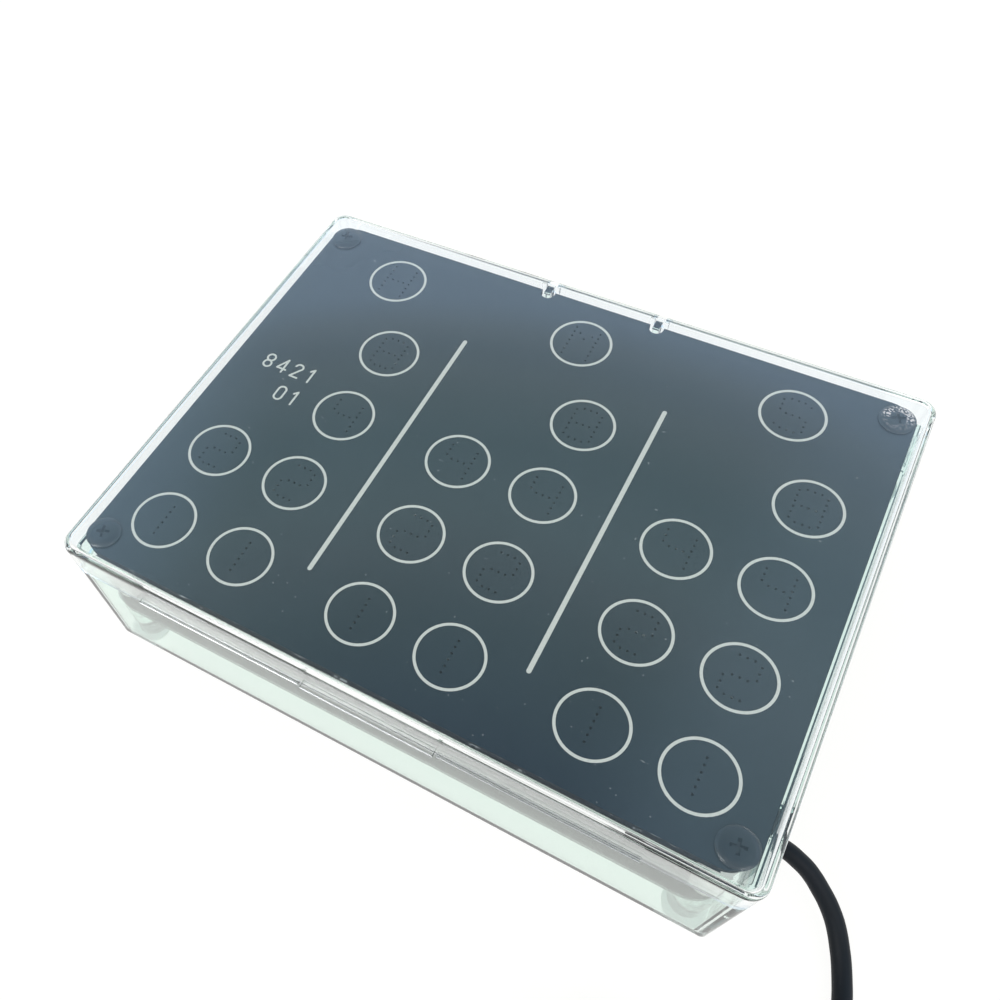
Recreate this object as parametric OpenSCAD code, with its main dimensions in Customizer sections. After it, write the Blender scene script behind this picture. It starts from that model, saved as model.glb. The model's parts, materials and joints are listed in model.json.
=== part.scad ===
// Desk clock that shows the time as binary-coded digits: a dark perforated panel in a clear hinged case.
// Millimetres. +Z is up, +X is to the right and -Y is the front. The origin lies on the table,
// under the middle of the case.

/* [Case] */
// Thickness of the lid's side walls
lid_wall = 1.4; // [1.2:0.1:1.8]
// Thickness of the lid's top plate
lid_top = 1.2; // [1:0.1:3]
// Height of the lid, from its top to the lower edge of its skirt
lid_h = 9.9; // [9.5:0.1:11]
// Corner radius of the lid, seen from above
lid_corner = 3.8; // [3.6:0.1:6]
// Rounding of the lid's upper edge
lid_edge = 2; // [0.8:0.1:2.2]
// Gap between the lid's skirt and the neck inside it
skirt_gap = 0.3; // [0.25:0.05:0.4]
// How far the base's walls stand in from the lid's
base_step = 0.6; // [0.3:0.05:0.9]
// Thickness of the base's side walls
base_wall = 1.6; // [1.4:0.1:2]
// Thickness of the base's floor
floor_t = 1.5; // [1.2:0.1:3]
// Rounding of the base's lower edge
base_edge = 0.7; // [0.6:0.1:1]
// Outer corner radius of the base, seen from above
base_corner = 1.7; // [1.7:0.1:1.8]
// Thickness of the neck that stands up inside the skirt
neck_wall = 1; // [0.8:0.05:1.2]
// Gap that the closed lid leaves over the base's shoulder
closed_gap = 0.3; // [0.2:0.05:0.4]
// How far the neck stays below the panel, so that the panel's edge shows through the lid
neck_down = 0.4; // [0.2:0.1:1]
// How far the finger lip stands out from the skirt
lip_proud = 0.9; // [0.5:0.1:1.5]
// Length of the finger lip
lip_w = 30.6; // [20:0.2:40]
// How far the two grip ridges stand out from the skirt
ridge_proud = 0.5; // [0.3:0.1:0.8]
// Distance between the outer ends of the grip ridges
ridge_span = 114; // [90:1:130]

/* [Hinge] */
// Distance of the hinge axis from the lid's back face
hinge_in = 1.9; // [1.8:0.05:2]
// Distance of the hinge axis above the skirt's lower edge
hinge_up = 1.8; // [1.7:0.05:2]
// Diameter of the hinge pins
pin_d = 1.2; // [1:0.1:1.4]
// Distance between the two hinge lugs
lug_pitch = 28; // [24:1:34]
// Width of a hinge lug
lug_w = 1.6; // [1.2:0.1:2]
// Radius of a lug's knuckle round the pin
lug_r = 1.4; // [1.2:0.05:1.5]
// Depth of the tall part of a lug, which stands in the panel's notch
post_deep = 3; // [2:0.1:3.2]
// Width of each ear beside a lug
ear_w = 1.2; // [1:0.1:1.6]
// Radius of the ears' round ends
ear_r = 1.5; // [1.3:0.05:1.6]
// Side gap between a lug and an ear
ear_gap = 0.3; // [0.2:0.05:0.5]
// Widening of the ears' bores over the pin
pin_play = 0.2; // [0.1:0.05:0.4]

/* [Feet] */
// Diameter of a stick-on foot
foot_d = 10; // [8:0.5:12]
// Height of a foot
foot_h = 1.6; // [1:0.1:3]
// Distance of a foot's centre from the base's side walls
foot_in = 6; // [5.8:0.1:12]

/* [Panel] */
// Distance from the outermost rings to the panel's side edges
side_margin = 6.8; // [5.5:0.1:15]
// Distance from the lowest rings to the panel's front edge
front_margin = 6.5; // [5.5:0.1:15]
// Distance from the letters' rings to the panel's back edge
back_margin = 5.7; // [5.4:0.1:15]
// Sideways gap from the panel's edge to the inner face of the neck below it
panel_gap = 0.3; // [0.2:0.05:0.6]
// Thickness of the panel
panel_t = 1.6; // [1.2:0.1:2]
// Corner radius of the panel
panel_corner = 6; // [4:0.5:8]
// Free height between the panel's face and the lid
lid_clear = 1.2; // [1.1:0.1:2]
// Distance of a screw from the panel's side edge
screw_in_x = 4; // [4:0.1:6]
// Distance of a screw from the panel's front or back edge
screw_in_y = 4.6; // [4:0.1:6]
// Diameter of a panel screw's head
head_d = 7.8; // [6:0.1:7.8]
// Height of a panel screw's head
head_h = 1; // [0.8:0.1:1]
// Thread diameter of the panel screws and the spacers' studs
thread_d = 3; // [2.5:0.1:3.5]
// Length of a panel screw's shank
shank_l = 9; // [7:0.5:12]
// Radius of the notches in the panel's back edge
notch_r = 1.7; // [1.4:0.05:2]
// Depth of the notches
notch_deep = 2.4; // [2.2:0.1:3]

/* [Rings] */
// Centreline radius of a ring
ring_r = 7; // [6:0.1:7.2]
// Width of the printed lines
line_w = 0.6; // [0.3:0.05:1]
// Thickness of the print
print_t = 0.06; // [0.04:0.01:0.1]
// Distance between the hours, minutes and seconds groups
group_pitch = 50; // [47:0.5:60]
// Distance between the tens and the units column
column_pitch = 20.4; // [18:0.1:23]
// Distance between rows
row_pitch = 21.3; // [18:0.1:25]
// Distance between the row of eights and the row of letters
letter_gap = 22.5; // [19:0.1:30]
// Distance of a divider's front end from the lowest row's centres
divider_start = 3.8; // [0:0.1:10]
// Length of the dividers
divider_l = 71.7; // [50:0.1:80]
// Width of the dividers
divider_w = 1; // [0.5:0.1:2]
// Distance between the dots of a digit
dot_pitch = 1.5; // [1.3:0.05:1.6]
// Diameter of a dot
dot_d = 0.55; // [0.4:0.05:0.8]
// Height of the small printed numerals
numeral_h = 4; // [2:0.1:6]

/* [Light box] */
// Height of the base's corner bosses over its floor
boss_h = 15.9; // [15.5:0.1:20]
// Diameter of a corner boss
boss_d = 8; // [7:0.1:8.4]
// Distance between the board and the panel
throw_h = 19.4; // [16:0.1:24]
// Thickness of the board
board_t = 1.6; // [1.2:0.1:2]
// Gap between the board's edge and the case
board_gap = 0.5; // [0.3:0.1:1]
// Corner radius of the board
board_corner = 8; // [6:0.5:10]
// Diameter of a spacer
spacer_d = 6; // [5:0.1:6.4]
// Thickness of the frosted sheet under the panel
sheet_t = 0.5; // [0.3:0.1:1]
// Thickness of the baffle's web
web_t = 1.2; // [1:0.1:2]
// Wall of a baffle tube
tube_wall = 0.8; // [0.6:0.1:1]
// Gap between a ring's centreline and its baffle tube
tube_gap = 0.6; // [0.4:0.1:0.8]
// Diameter of the baffle's screw posts
post_d = 6; // [5:0.1:7]
// Width of a light-emitting diode's body
led_w = 5; // [3:0.1:5.5]
// Height of a light-emitting diode's body
led_h = 1.6; // [1:0.1:2.5]

/* [Setting buttons] */
// Diameter of a button's cap
cap_d = 5; // [4:0.1:6]
// Travel of a button
button_travel = 0.6; // [0.4:0.05:0.8]
// Side position of the hour button
hour_x = -42; // [-50:1:-38]
// Side position of the minute button
minute_x = -26; // [-30:1:-22]
// Height of the buttons' axes below the board
button_drop = 3.9; // [3.8:0.1:4.6]
// Gap round a button's cap
cap_gap = 0.25; // [0.2:0.05:0.5]

/* [Power cable] */
// Diameter of the cable
cable_d = 3.8; // [3.8:0.1:3.8]
// Height of the cable's hole over the table
exit_z = 11.4; // [11.4:0.1:11.4]
// Position of the cable's hole along the right wall
exit_y = -36.8; // [-36.8:0.1:-36.8]
// Diameter of the grommet's neck in the wall
grommet_neck_d = 7.4; // [6.5:0.1:8]
// Diameter of the grommet's flanges
grommet_flange_d = 10; // [9:0.1:11]
// Thickness of the grommet's flanges
flange_t = 1.3; // [1:0.1:2]
// Length of the grommet's taper outside
grommet_taper = 4; // [3:0.5:4]
// Turns in the coil
coil_turns = 6.25; // [6.25:1:8.25]
// Distance from turn to turn and from layer to layer in the coil
coil_pitch = 4.4; // [4.3:0.05:4.6]
// Thickness of the tie round the coil
tie_t = 0.5; // [0.3:0.1:0.8]

/* [Hidden] */
$fn = 48;
eps = 0.01;
stud_l = 8;
thread_gap = 0.1;

// Heights over the table
z_floor = foot_h + floor_t;
z_board = z_floor + boss_h;
z_board_top = z_board + board_t;
z_panel = z_board_top + throw_h;
z_face = z_panel + panel_t;
z_lid_in = z_face + lid_clear;
z_top = z_lid_in + lid_top;
z_skirt = z_top - lid_h;
z_shoulder = z_skirt - closed_gap;
z_neck = z_panel - neck_down;

// Outer sizes of the panel, the lid, the base, the neck and the board
panel_w = 2 * (group_pitch + ring_r + side_margin) + column_pitch;
panel_d = front_margin + 2 * ring_r + 3 * row_pitch + letter_gap + back_margin;
case_w = panel_w + 2 * (panel_gap + neck_wall + skirt_gap + lid_wall);
case_d = panel_d + 2 * (panel_gap + neck_wall + skirt_gap + lid_wall);
base_w = case_w - 2 * base_step;
base_d = case_d - 2 * base_step;
hollow_corner = lid_corner - base_step - base_wall;
hollow_w = base_w - 2 * base_wall;
hollow_d = base_d - 2 * base_wall;
neck_w = case_w - 2 * (lid_wall + skirt_gap);
neck_d = case_d - 2 * (lid_wall + skirt_gap);
neck_corner = lid_corner - lid_wall;
neck_root = 3;
board_w = hollow_w - 2 * board_gap;
board_d = hollow_d - 2 * board_gap;
screw_x = panel_w / 2 - screw_in_x;
screw_y = panel_d / 2 - screw_in_y;
screw_spots = [for (sx = [-1, 1], sy = [-1, 1]) [sx * screw_x, sy * screw_y]];

// Hinge
hinge_y = case_d / 2 - hinge_in;
hinge_z = z_skirt + hinge_up;
sweep_r = sqrt(pow(hinge_in, 2) + pow(hinge_up, 2));
swept_gap = 0.3;
relief_z = hinge_z - sweep_r - swept_gap;
neck_end_y = hinge_y - sweep_r - swept_gap;
post_back = case_d / 2 - lid_wall - swept_gap;
post_front = post_back - post_deep;
lug_top = z_lid_in - 2 * closed_gap;
lug_foot = relief_z - 8;
slot_w = lug_w + 2 * ear_gap;
slot_top = hinge_z + 4.3;
pin_l = lug_w + 2 * (ear_gap + ear_w);
lug_bore = pin_d + 0.04;
ear_bore = pin_d + pin_play;
lug_xs = [-lug_pitch / 2, lug_pitch / 2];

// Rings: [x, y, what it shows], where the last value is 1, 2, 4 or 8, or 10, 11 or 12 for H, M or S
first_row_y = front_margin + ring_r - panel_d / 2;
unit_row_y = first_row_y + 3 * row_pitch + letter_gap;
divider_low = first_row_y + divider_start;
divider_high = divider_low + divider_l;
function row_y(value) = first_row_y + row_pitch * (value == 1 ? 0 : value == 2 ? 1 : value == 4 ? 2 : 3);
tens_rings = [for (g = [-1:1]) for (v = g == -1 ? [1, 2] : [1, 2, 4])
    [g * group_pitch - column_pitch / 2, row_y(v), v]];
units_rings = [for (g = [-1:1]) for (v = [1, 2, 4, 8]) [g * group_pitch + column_pitch / 2, row_y(v), v]];
letter_rings = [for (g = [-1:1]) [g * group_pitch, unit_row_y, 11 + g]];
rings = concat(tens_rings, units_rings, letter_rings);
tube_in = ring_r + tube_gap;
tube_out = tube_in + tube_wall;
web_w = group_pitch * 2 + column_pitch + 2 * tube_out + 1.4;
web_low = first_row_y - tube_out - 1;
web_high = unit_row_y + tube_out + 0.5;
post_spots = [for (sx = [-1, 1], y = [first_row_y + row_pitch / 2, unit_row_y - letter_gap / 2])
    [sx * group_pitch / 2, y]];

// Dots of a digit: segments of three dots on a frame 4 pitches wide and 6 high, centred on the ring
bar = [-1, 0, 1];
stem_high = [0.5, 1.5, 2.5];
stem_low = [-2.5, -1.5, -0.5];
seg_top = [for (i = bar) [i, 3]];
seg_mid = [for (i = bar) [i, 0]];
seg_low = [for (i = bar) [i, -3]];
seg_right_high = [for (j = stem_high) [2, j]];
seg_right_low = [for (j = stem_low) [2, j]];
seg_left_high = [for (j = stem_high) [-2, j]];
seg_left_low = [for (j = stem_low) [-2, j]];
full_left = [for (j = [-3:3]) [-2, j]];
full_right = [for (j = [-3:3]) [2, j]];
function dots(what) =
    what == 1 ? [for (j = concat(stem_low, stem_high)) [0, j]] :
    what == 2 ? concat(seg_top, seg_right_high, seg_mid, seg_left_low, seg_low) :
    what == 4 ? concat(seg_left_high, seg_mid, seg_right_high, seg_right_low) :
    what == 8 ? concat(seg_top, seg_mid, seg_low, seg_right_high, seg_right_low, seg_left_high,
        seg_left_low) :
    what == 10 ? concat(full_left, seg_mid, full_right) :
    what == 11 ? concat(full_left, [[-1, 2], [0, 1], [1, 2]], full_right) :
    concat(seg_top, [[2, 2.5]], seg_left_high, seg_mid, seg_right_low, [[-2, -2.5]], seg_low);

// Standard parts: [width, depth, height], and how far they lie from the board's edges or from each other
dip_size = [35.6, 7, 3.4];
wide_chip_size = [15.4, 7.5, 2.3];
clock_chip_size = [10.3, 7.5, 2.3];
regulator_size = [6.5, 3.6, 1.6];
part_gap = 5;
driver_spot = [board_w / 2 - 30, 8];
dip_spot = [0, -6];
cell_d = 20;
cell_t = 3.2;
cell_ring = 1.7;
cell_floor = 1.4;
cell_spot = [dip_size[0] / 2 + 2, dip_spot[1] + dip_size[1] / 2 + cell_d / 2 + 2 * part_gap - 2];
clock_spot = [-part_gap, cell_spot[1] + 9];
crystal_spot = [-8, dip_spot[1] - dip_size[1] / 2 - part_gap - 3.5];
regulator_spot = [driver_spot[0] + 4, -22];
can_d = 6.3;
can_h = 6.4;
can_base = 0.8;
resistor_size = [1.3, 2.1, 0.6];
resistor_pitch = 4.4;

// Buttons, switches and their board
button_z = z_board - button_drop;
wall_out_y = base_d / 2;
wall_in_y = hollow_d / 2;
button_tip = case_d / 2 + lip_proud;
button_flange_t = 1;
button_flange_d = cap_d + 2;
flange_seat = 0.1;
stem_d = 3.2;
switch_w = 6;
switch_d = 5;
switch_front = wall_in_y - 3.2;
stem_in = 0.8;
button_xs = [hour_x, minute_x];

// Cable: points chosen by hand, in the order in which it leaves the case, then the coil and the plug
wall_x = base_w / 2;
exit = [wall_x, exit_y, exit_z];
coil_mid = [78, -109];
coil_low_z = tie_t + 0.15 + cable_d / 2;
coil_mean_r = 22.3;
layer_turns = coil_turns / 2;
coil_out_r = coil_mean_r + coil_pitch * layer_turns / 2;
coil_in_r = coil_mean_r - coil_pitch * layer_turns / 2;
coil_high_z = coil_low_z + coil_pitch;
coil_run = cable_d;
lead_end = [coil_mid[0] + coil_out_r, coil_mid[1] + coil_run, coil_low_z];
lead_points = [exit, [80.6, exit_y, 11.4], [83.6, -37, 11], [85.8, -37.4, 10.3], [88, -37.9, 9.4],
    [90.1, -38.7, 8.25], [92.1, -39.8, 7.1], [94, -41, 6.1], [95.6, -42.3, 5.2], [97, -43.7, 4.4],
    [98.3, -45.4, 3.6], [99.5, -47.4, 2.9], [100.7, -49.8, 2.35], [101.9, -53, 1.95], [102.9, -56.5, 1.9],
    [104.3, -63, 1.9], [105.6, -71, 1.9], [106.6, -80, 1.9], [107.2, -89, 2.05],
    [coil_mid[0] + coil_out_r, -99, coil_low_z], lead_end];
tail_start = [coil_mid[0] - coil_run, coil_mid[1] - coil_out_r, coil_high_z];
plug_x = 44;
plug_y = -136.4;
plug_z = 4;
tail_points = [tail_start, [70, tail_start[1], coil_high_z], [66.5, tail_start[1] + 0.1, 6.7],
    [62.5, -138.1, 6.2], [58.5, -137.4, 5.4], [53.5, -136.8, 4.6], [48.5, plug_y, plug_z],
    [plug_x, plug_y, plug_z]];
socket_x = hollow_w / 2 - 14.8;
socket_low_x = socket_x - 8;
plug_body_l = 24;
plug_body_w = 15.6;
plug_body_h = 7.8;
relief_l = 9;
shell_l = 18.8;
shell_w = 12;
shell_h = 4.5;
shell_t = 0.3;
shell_in = 8;
socket_z = z_board - 4;
inner_points = [[socket_x + 6, exit_y, socket_z], [socket_x + 7.5, exit_y, socket_z],
    [socket_x + 9.5, exit_y, (2 * socket_z + exit_z) / 3],
    [socket_x + 11.5, exit_y, (socket_z + 2 * exit_z) / 3],
    [hollow_w / 2 - flange_t - 0.3, exit_y, exit_z], exit];

// The coil's points: it spirals in on the lower layer, climbs where it turns back, and spirals out again
coil_steps = 24;
climb_half = 0.25;
function coil_radius(t) = coil_out_r - coil_pitch * min(t, coil_turns - t);
function coil_climb(t) = min(1, max(0, (t - layer_turns + climb_half) / (2 * climb_half)));
function coil_point(t) = [coil_mid[0] + coil_radius(t) * cos(360 * t),
    coil_mid[1] - coil_radius(t) * sin(360 * t), coil_low_z + coil_pitch * coil_climb(t)];
coil_points = concat([lead_end], [for (i = [0:coil_turns * coil_steps]) coil_point(i / coil_steps)],
    [tail_start]);
coil_gap = min([for (i = [0:len(coil_points) - 1]) for (j = [i + coil_steps / 2:1:len(coil_points) - 1])
    norm(coil_points[i] - coil_points[j])]) - cable_d;
echo(coil_gap = coil_gap);

function run_length(points, i = 1) = i >= len(points) ? 0 :
    norm(points[i] - points[i - 1]) + run_length(points, i + 1);
echo(free_cable_length = run_length(lead_points) + run_length(coil_points) + run_length(tail_points));

// ---- Shared shapes ----

// A rectangle with round corners, centred
module round_rect(w, d, r) {
    union() {
        square([w - 2 * r, d], center = true);
        square([w, d - 2 * r], center = true);
        for (sx = [-1, 1], sy = [-1, 1]) translate([sx * (w / 2 - r), sy * (d / 2 - r)]) circle(r);
    }
}

// A plate with round corners from height z up
module plate(w, d, r, z, h) {
    translate([0, 0, z]) linear_extrude(h) round_rect(w, d, r);
}

// A plate whose upper edge is rounded all round
module soft_plate(w, d, r, h, edge) {
    plate(w, d, r, 0, h - edge);
    plate(w - 2 * edge, d - 2 * edge, r - edge, 0, h);
    for (s = [-1, 1]) {
        translate([-(w / 2 - r), s * (d / 2 - edge), h - edge]) rotate([0, 90, 0])
            cylinder(r = edge, h = w - 2 * r);
        translate([s * (w / 2 - edge), d / 2 - r, h - edge]) rotate([90, 0, 0])
            cylinder(r = edge, h = d - 2 * r);
    }
    for (sx = [-1, 1], sy = [-1, 1]) translate([sx * (w / 2 - r), sy * (d / 2 - r), h - edge])
        rotate_extrude() translate([r - edge, 0]) intersection() {
            circle(edge);
            translate([-(r - edge), -edge]) square([r, 2 * edge]);
        }
}

// A box from its low corner to its high corner
module block(low, high) {
    translate(low) cube(high - low);
}

// A rod along X that starts at p
module rod_x(p, d, l) {
    translate(p) rotate([0, 90, 0]) cylinder(d = d, h = l);
}

// A rod along Y that starts at p
module rod_y(p, d, l) {
    translate(p) rotate([-90, 0, 0]) cylinder(d = d, h = l);
}

// A tube of given sides swept along points that never run straight up
module swept(points, d, sides) {
    last = len(points) - 1;
    function along(i) = let (v = points[min(i + 1, last)] - points[max(i - 1, 0)]) v / norm(v);
    function side(t) = let (v = cross([0, 0, 1], t)) v / norm(v);
    corners = [for (i = [0:last]) let (t = along(i), s = side(t), u = cross(t, s)) for (k = [0:sides - 1])
        points[i] + d / 2 * (cos(360 * k / sides) * s + sin(360 * k / sides) * u)];
    walls = [for (i = [0:last - 1], k = [0:sides - 1])
        let (a = i * sides + k, b = i * sides + (k + 1) % sides)
            each [[a, a + sides, b], [b, a + sides, b + sides]]];
    first_cap = [for (k = [1:sides - 2]) [0, k, k + 1]];
    last_cap = [for (k = [1:sides - 2]) [last * sides, last * sides + k + 1, last * sides + k]];
    polyhedron(corners, concat(walls, first_cap, last_cap));
}

// ---- Case ----

module base_tray() {
    outer_h = z_shoulder - foot_h;
    color([0.86, 0.93, 0.92, 0.4]) difference() {
        union() {
            difference() {
                translate([0, 0, z_shoulder]) mirror([0, 0, 1])
                    soft_plate(base_w, base_d, base_corner, outer_h, base_edge);
                plate(hollow_w, hollow_d, hollow_corner, z_floor, outer_h);
            }
            neck();
            for (p = screw_spots) translate([p[0], p[1], z_floor - eps])
                cylinder(d = boss_d, h = boss_h + eps);
        }
        block([-case_w, neck_end_y, relief_z], [case_w, case_d, z_top]);
        for (p = screw_spots) translate([p[0], p[1], z_board - stud_l - 1])
            cylinder(d = thread_d + thread_gap, h = stud_l + 2);
        for (x = button_xs) rod_y([x, wall_in_y - 1, button_z], cap_d + 2 * cap_gap, base_wall + 2);
        rod_x([wall_x - base_wall - 1, exit_y, exit_z], grommet_neck_d + 0.1, base_wall + 2);
    }
    color([0.86, 0.93, 0.92, 0.4]) for (x = lug_xs) lug(x);
}

// The raised lip inside the lid's skirt; it stops short of the hinge
module neck() {
    difference() {
        plate(neck_w, neck_d, neck_corner, z_shoulder - neck_root, z_neck - z_shoulder + neck_root);
        plate(neck_w - 2 * neck_wall, neck_d - 2 * neck_wall, neck_corner - neck_wall,
            z_shoulder - neck_root - 1, z_top);
    }
}

// A hinge lug: a knuckle over the back wall, and a post that stands in the panel's notch
module lug(x) {
    difference() {
        union() {
            block([x - lug_w / 2, post_front, relief_z], [x + lug_w / 2, post_back, lug_top]);
            block([x - lug_w / 2, post_front, lug_foot], [x + lug_w / 2, wall_in_y + eps, relief_z]);
            block([x - lug_w / 2, hinge_y - lug_r, relief_z - 1],
                [x + lug_w / 2, hinge_y + lug_r - 0.1, hinge_z]);
            rod_x([x - lug_w / 2, hinge_y, hinge_z], 2 * lug_r, lug_w);
        }
        rod_x([x - lug_w, hinge_y, hinge_z], lug_bore, 2 * lug_w);
    }
}

module lid() {
    skirt_in_w = case_w - 2 * lid_wall;
    skirt_in_d = case_d - 2 * lid_wall;
    color([0.9, 0.95, 0.95, 0.35]) difference() {
        union() {
            difference() {
                translate([0, 0, z_skirt]) soft_plate(case_w, case_d, lid_corner, lid_h, lid_edge);
                plate(skirt_in_w, skirt_in_d, lid_corner - lid_wall, z_skirt - 1, z_lid_in - z_skirt + 1);
            }
            intersection() {
                union() for (x = lug_xs, s = [-1, 1]) ear(x + s * (lug_w / 2 + ear_gap + ear_w / 2));
                block([-case_w, 0, 0], [case_w, case_d / 2 - lid_wall / 2, z_top]);
            }
            finger_grips();
        }
        for (x = lug_xs) {
            block([x - slot_w / 2, hinge_y - ear_r, z_skirt - 1], [x + slot_w / 2, case_d, slot_top]);
            rod_x([x - pin_l, hinge_y, hinge_z], ear_bore, 2 * pin_l);
        }
    }
}

// One of the lid's hinge ears, joined to the skirt and to the top plate
module ear(x) {
    back = case_d / 2 - lid_wall + eps;
    rod_x([x - ear_w / 2, hinge_y, hinge_z], 2 * ear_r, ear_w);
    block([x - ear_w / 2, hinge_y, hinge_z - ear_r], [x + ear_w / 2, back, hinge_z + ear_r]);
    block([x - ear_w / 2, hinge_y - 0.4, hinge_z], [x + ear_w / 2, back, z_lid_in + eps]);
}

// The finger lip in the middle of the skirt's front edge, with a grip ridge on each side of it
module finger_grips() {
    front = -case_d / 2;
    block([-lip_w / 2, front - lip_proud, z_skirt], [lip_w / 2, front + 0.2, z_skirt + 1.2]);
    for (s = [-1, 1]) {
        near = s * (lip_w / 2 + 0.6);
        far = s * ridge_span / 2;
        block([min(near, far), front - ridge_proud, z_skirt + 0.2],
            [max(near, far), front + 0.2, z_skirt + 1]);
    }
}

module hinge_pins() {
    color("silver") for (x = lug_xs) rod_x([x - pin_l / 2, hinge_y, hinge_z], pin_d, pin_l);
}

module rubber_feet() {
    fx = base_w / 2 - foot_in;
    fy = base_d / 2 - foot_in;
    color([0.93, 0.94, 0.92]) for (sx = [-1, 1], sy = [-1, 1]) translate([sx * fx, sy * fy, 0])
        rotate_extrude() polygon([[0, 0], [foot_d / 2 - foot_h * 0.6, 0],
            [foot_d / 2 - foot_h * 0.2, foot_h * 0.25], [foot_d / 2, foot_h * 0.7], [foot_d / 2, foot_h],
            [0, foot_h]]);
}

// ---- Panel ----
module spacers() {
    color([0.95, 0.95, 0.93]) for (p = screw_spots) translate([p[0], p[1], 0]) difference() {
        union() {
            translate([0, 0, z_board_top]) cylinder(d = spacer_d, h = throw_h);
            translate([0, 0, z_board - stud_l]) cylinder(d = thread_d, h = stud_l + board_t + eps);
        }
        translate([0, 0, z_panel - shank_l]) cylinder(d = thread_d + thread_gap, h = shank_l + 1);
    }
}

module panel_screws() {
    color([0.12, 0.12, 0.13]) for (p = screw_spots) translate([p[0], p[1], z_face]) difference() {
        union() {
            rotate_extrude() polygon([[0, 0], [head_d / 2, 0], [head_d / 2, head_h * 0.35],
                [head_d / 2 - 0.7, head_h * 0.8], [head_d / 2 - 1.8, head_h], [0, head_h]]);
            translate([0, 0, 0.5 - shank_l]) cylinder(d = thread_d, h = shank_l - 0.5 + eps);
        }
        for (a = [45, 135]) rotate([0, 0, a]) translate([-1.7, -0.35, head_h - 0.75]) cube([3.4, 0.7, 1]);
    }
}

module front_panel() {
    color([0.22, 0.26, 0.3]) translate([0, 0, z_panel]) linear_extrude(panel_t) difference() {
        round_rect(panel_w, panel_d, panel_corner);
        for (p = screw_spots) translate(p) circle(d = thread_d + 0.2);
        for (x = lug_xs) translate([x, panel_d / 2]) {
            translate([0, notch_r - notch_deep]) circle(notch_r);
            translate([-notch_r, notch_r - notch_deep]) square([2 * notch_r, notch_deep]);
        }
        for (ring = rings, dot = dots(ring[2])) translate([ring[0], ring[1]])
            translate(dot_pitch * dot) circle(d = dot_d, $fn = 16);
    }
}

// A printed stroke with round ends between two points
module stroke(a, b, w) {
    v = b - a;
    translate(a) rotate(atan2(v[1], v[0])) translate([0, -w / 2]) square([norm(v), w]);
    translate(a) circle(d = w);
    translate(b) circle(d = w);
}

// A printed loop
module loop(mid, r, w) {
    translate(mid) difference() {
        circle(r + w / 2);
        circle(r - w / 2);
    }
}

// A plain numeral of height h that stands at x
module numeral(digit, x, y, h) {
    w = line_w * 0.8;
    q = h / 4;
    translate([x, y]) {
        if (digit == 0) {
            stroke([-q, q], [-q, 3 * q], w);
            stroke([q, q], [q, 3 * q], w);
            half_loop([0, 3 * q], q, w, 0);
            half_loop([0, q], q, w, 180);
        }
        if (digit == 1) {
            stroke([0, 0], [0, h], w);
            stroke([0, h], [-q * 0.8, h - q * 0.8], w);
        }
        if (digit == 2) {
            half_loop([0, 3 * q], q, w, 0);
            stroke([q, 3 * q], [-q, 0], w);
            stroke([-q, 0], [q, 0], w);
        }
        if (digit == 4) {
            stroke([q * 0.5, 0], [q * 0.5, h], w);
            stroke([q * 0.5, h], [-q * 1.2, q], w);
            stroke([-q * 1.2, q], [q * 1.2, q], w);
        }
        if (digit == 8) {
            loop([0, 3 * q], q, w);
            loop([0, q], q, w);
        }
    }
}

// The upper half of a printed loop, turned by the angle
module half_loop(mid, r, w, angle) {
    translate(mid) rotate(angle) intersection() {
        loop([0, 0], r, w);
        translate([-2 * r, 0]) square([4 * r, 2 * r]);
    }
}

module panel_print() {
    numerals_x = -65;
    line_gap = 7.6;
    color([0.87, 0.89, 0.88]) translate([0, 0, z_face]) linear_extrude(print_t) {
        for (ring = rings) translate([ring[0], ring[1]]) loop([0, 0], ring_r, line_w);
        for (s = [-1, 1]) stroke([s * group_pitch / 2, divider_low + divider_w / 2],
            [s * group_pitch / 2, divider_high - divider_w / 2], divider_w);
        for (i = [0:3]) numeral([8, 4, 2, 1][i], numerals_x + numeral_h * i, 4.6, numeral_h);
        for (i = [0:1]) numeral(i, numerals_x + numeral_h * (i + 2), 4.6 - line_gap, numeral_h);
    }
}

// ---- Light box ----

// The outline that the frosted sheet and the baffle's web share, clear of the corner spacers
module web_shape() {
    difference() {
        translate([0, (web_high + web_low) / 2]) round_rect(web_w, web_high - web_low, 3);
        for (p = screw_spots) translate(p) circle(d = spacer_d + 1);
    }
}

module diffuser_sheet() {
    color([0.92, 0.93, 0.93, 0.8]) translate([0, 0, z_panel - sheet_t]) linear_extrude(sheet_t) web_shape();
}

module light_baffle() {
    web_z = z_panel - sheet_t - web_t;
    color([0.13, 0.13, 0.14]) difference() {
        union() {
            translate([0, 0, web_z]) linear_extrude(web_t) web_shape();
            for (ring = rings) translate([ring[0], ring[1], z_board_top])
                cylinder(r = tube_out, h = web_z - z_board_top + eps);
            for (p = post_spots) translate([p[0], p[1], z_board_top])
                cylinder(d = post_d, h = web_z - z_board_top + eps);
        }
        for (ring = rings) translate([ring[0], ring[1], z_board_top - 1])
            cylinder(r = tube_in, h = throw_h + 2);
        for (p = post_spots) translate([p[0], p[1], z_board_top - 1]) cylinder(d = 2.6, h = 9);
    }
}

module baffle_screws() {
    color("silver") for (p = post_spots) translate([p[0], p[1], z_board]) {
        translate([0, 0, -1.6]) cylinder(d = 4.6, h = 1.6);
        cylinder(d = 2.5, h = board_t + 6);
    }
}

module led_board() {
    color([0.08, 0.12, 0.1]) translate([0, 0, z_board]) linear_extrude(board_t) difference() {
        round_rect(board_w, board_d, board_corner);
        for (p = screw_spots) translate(p) circle(d = thread_d + 0.2);
        for (p = post_spots) translate(p) circle(d = 2.7);
    }
}

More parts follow.
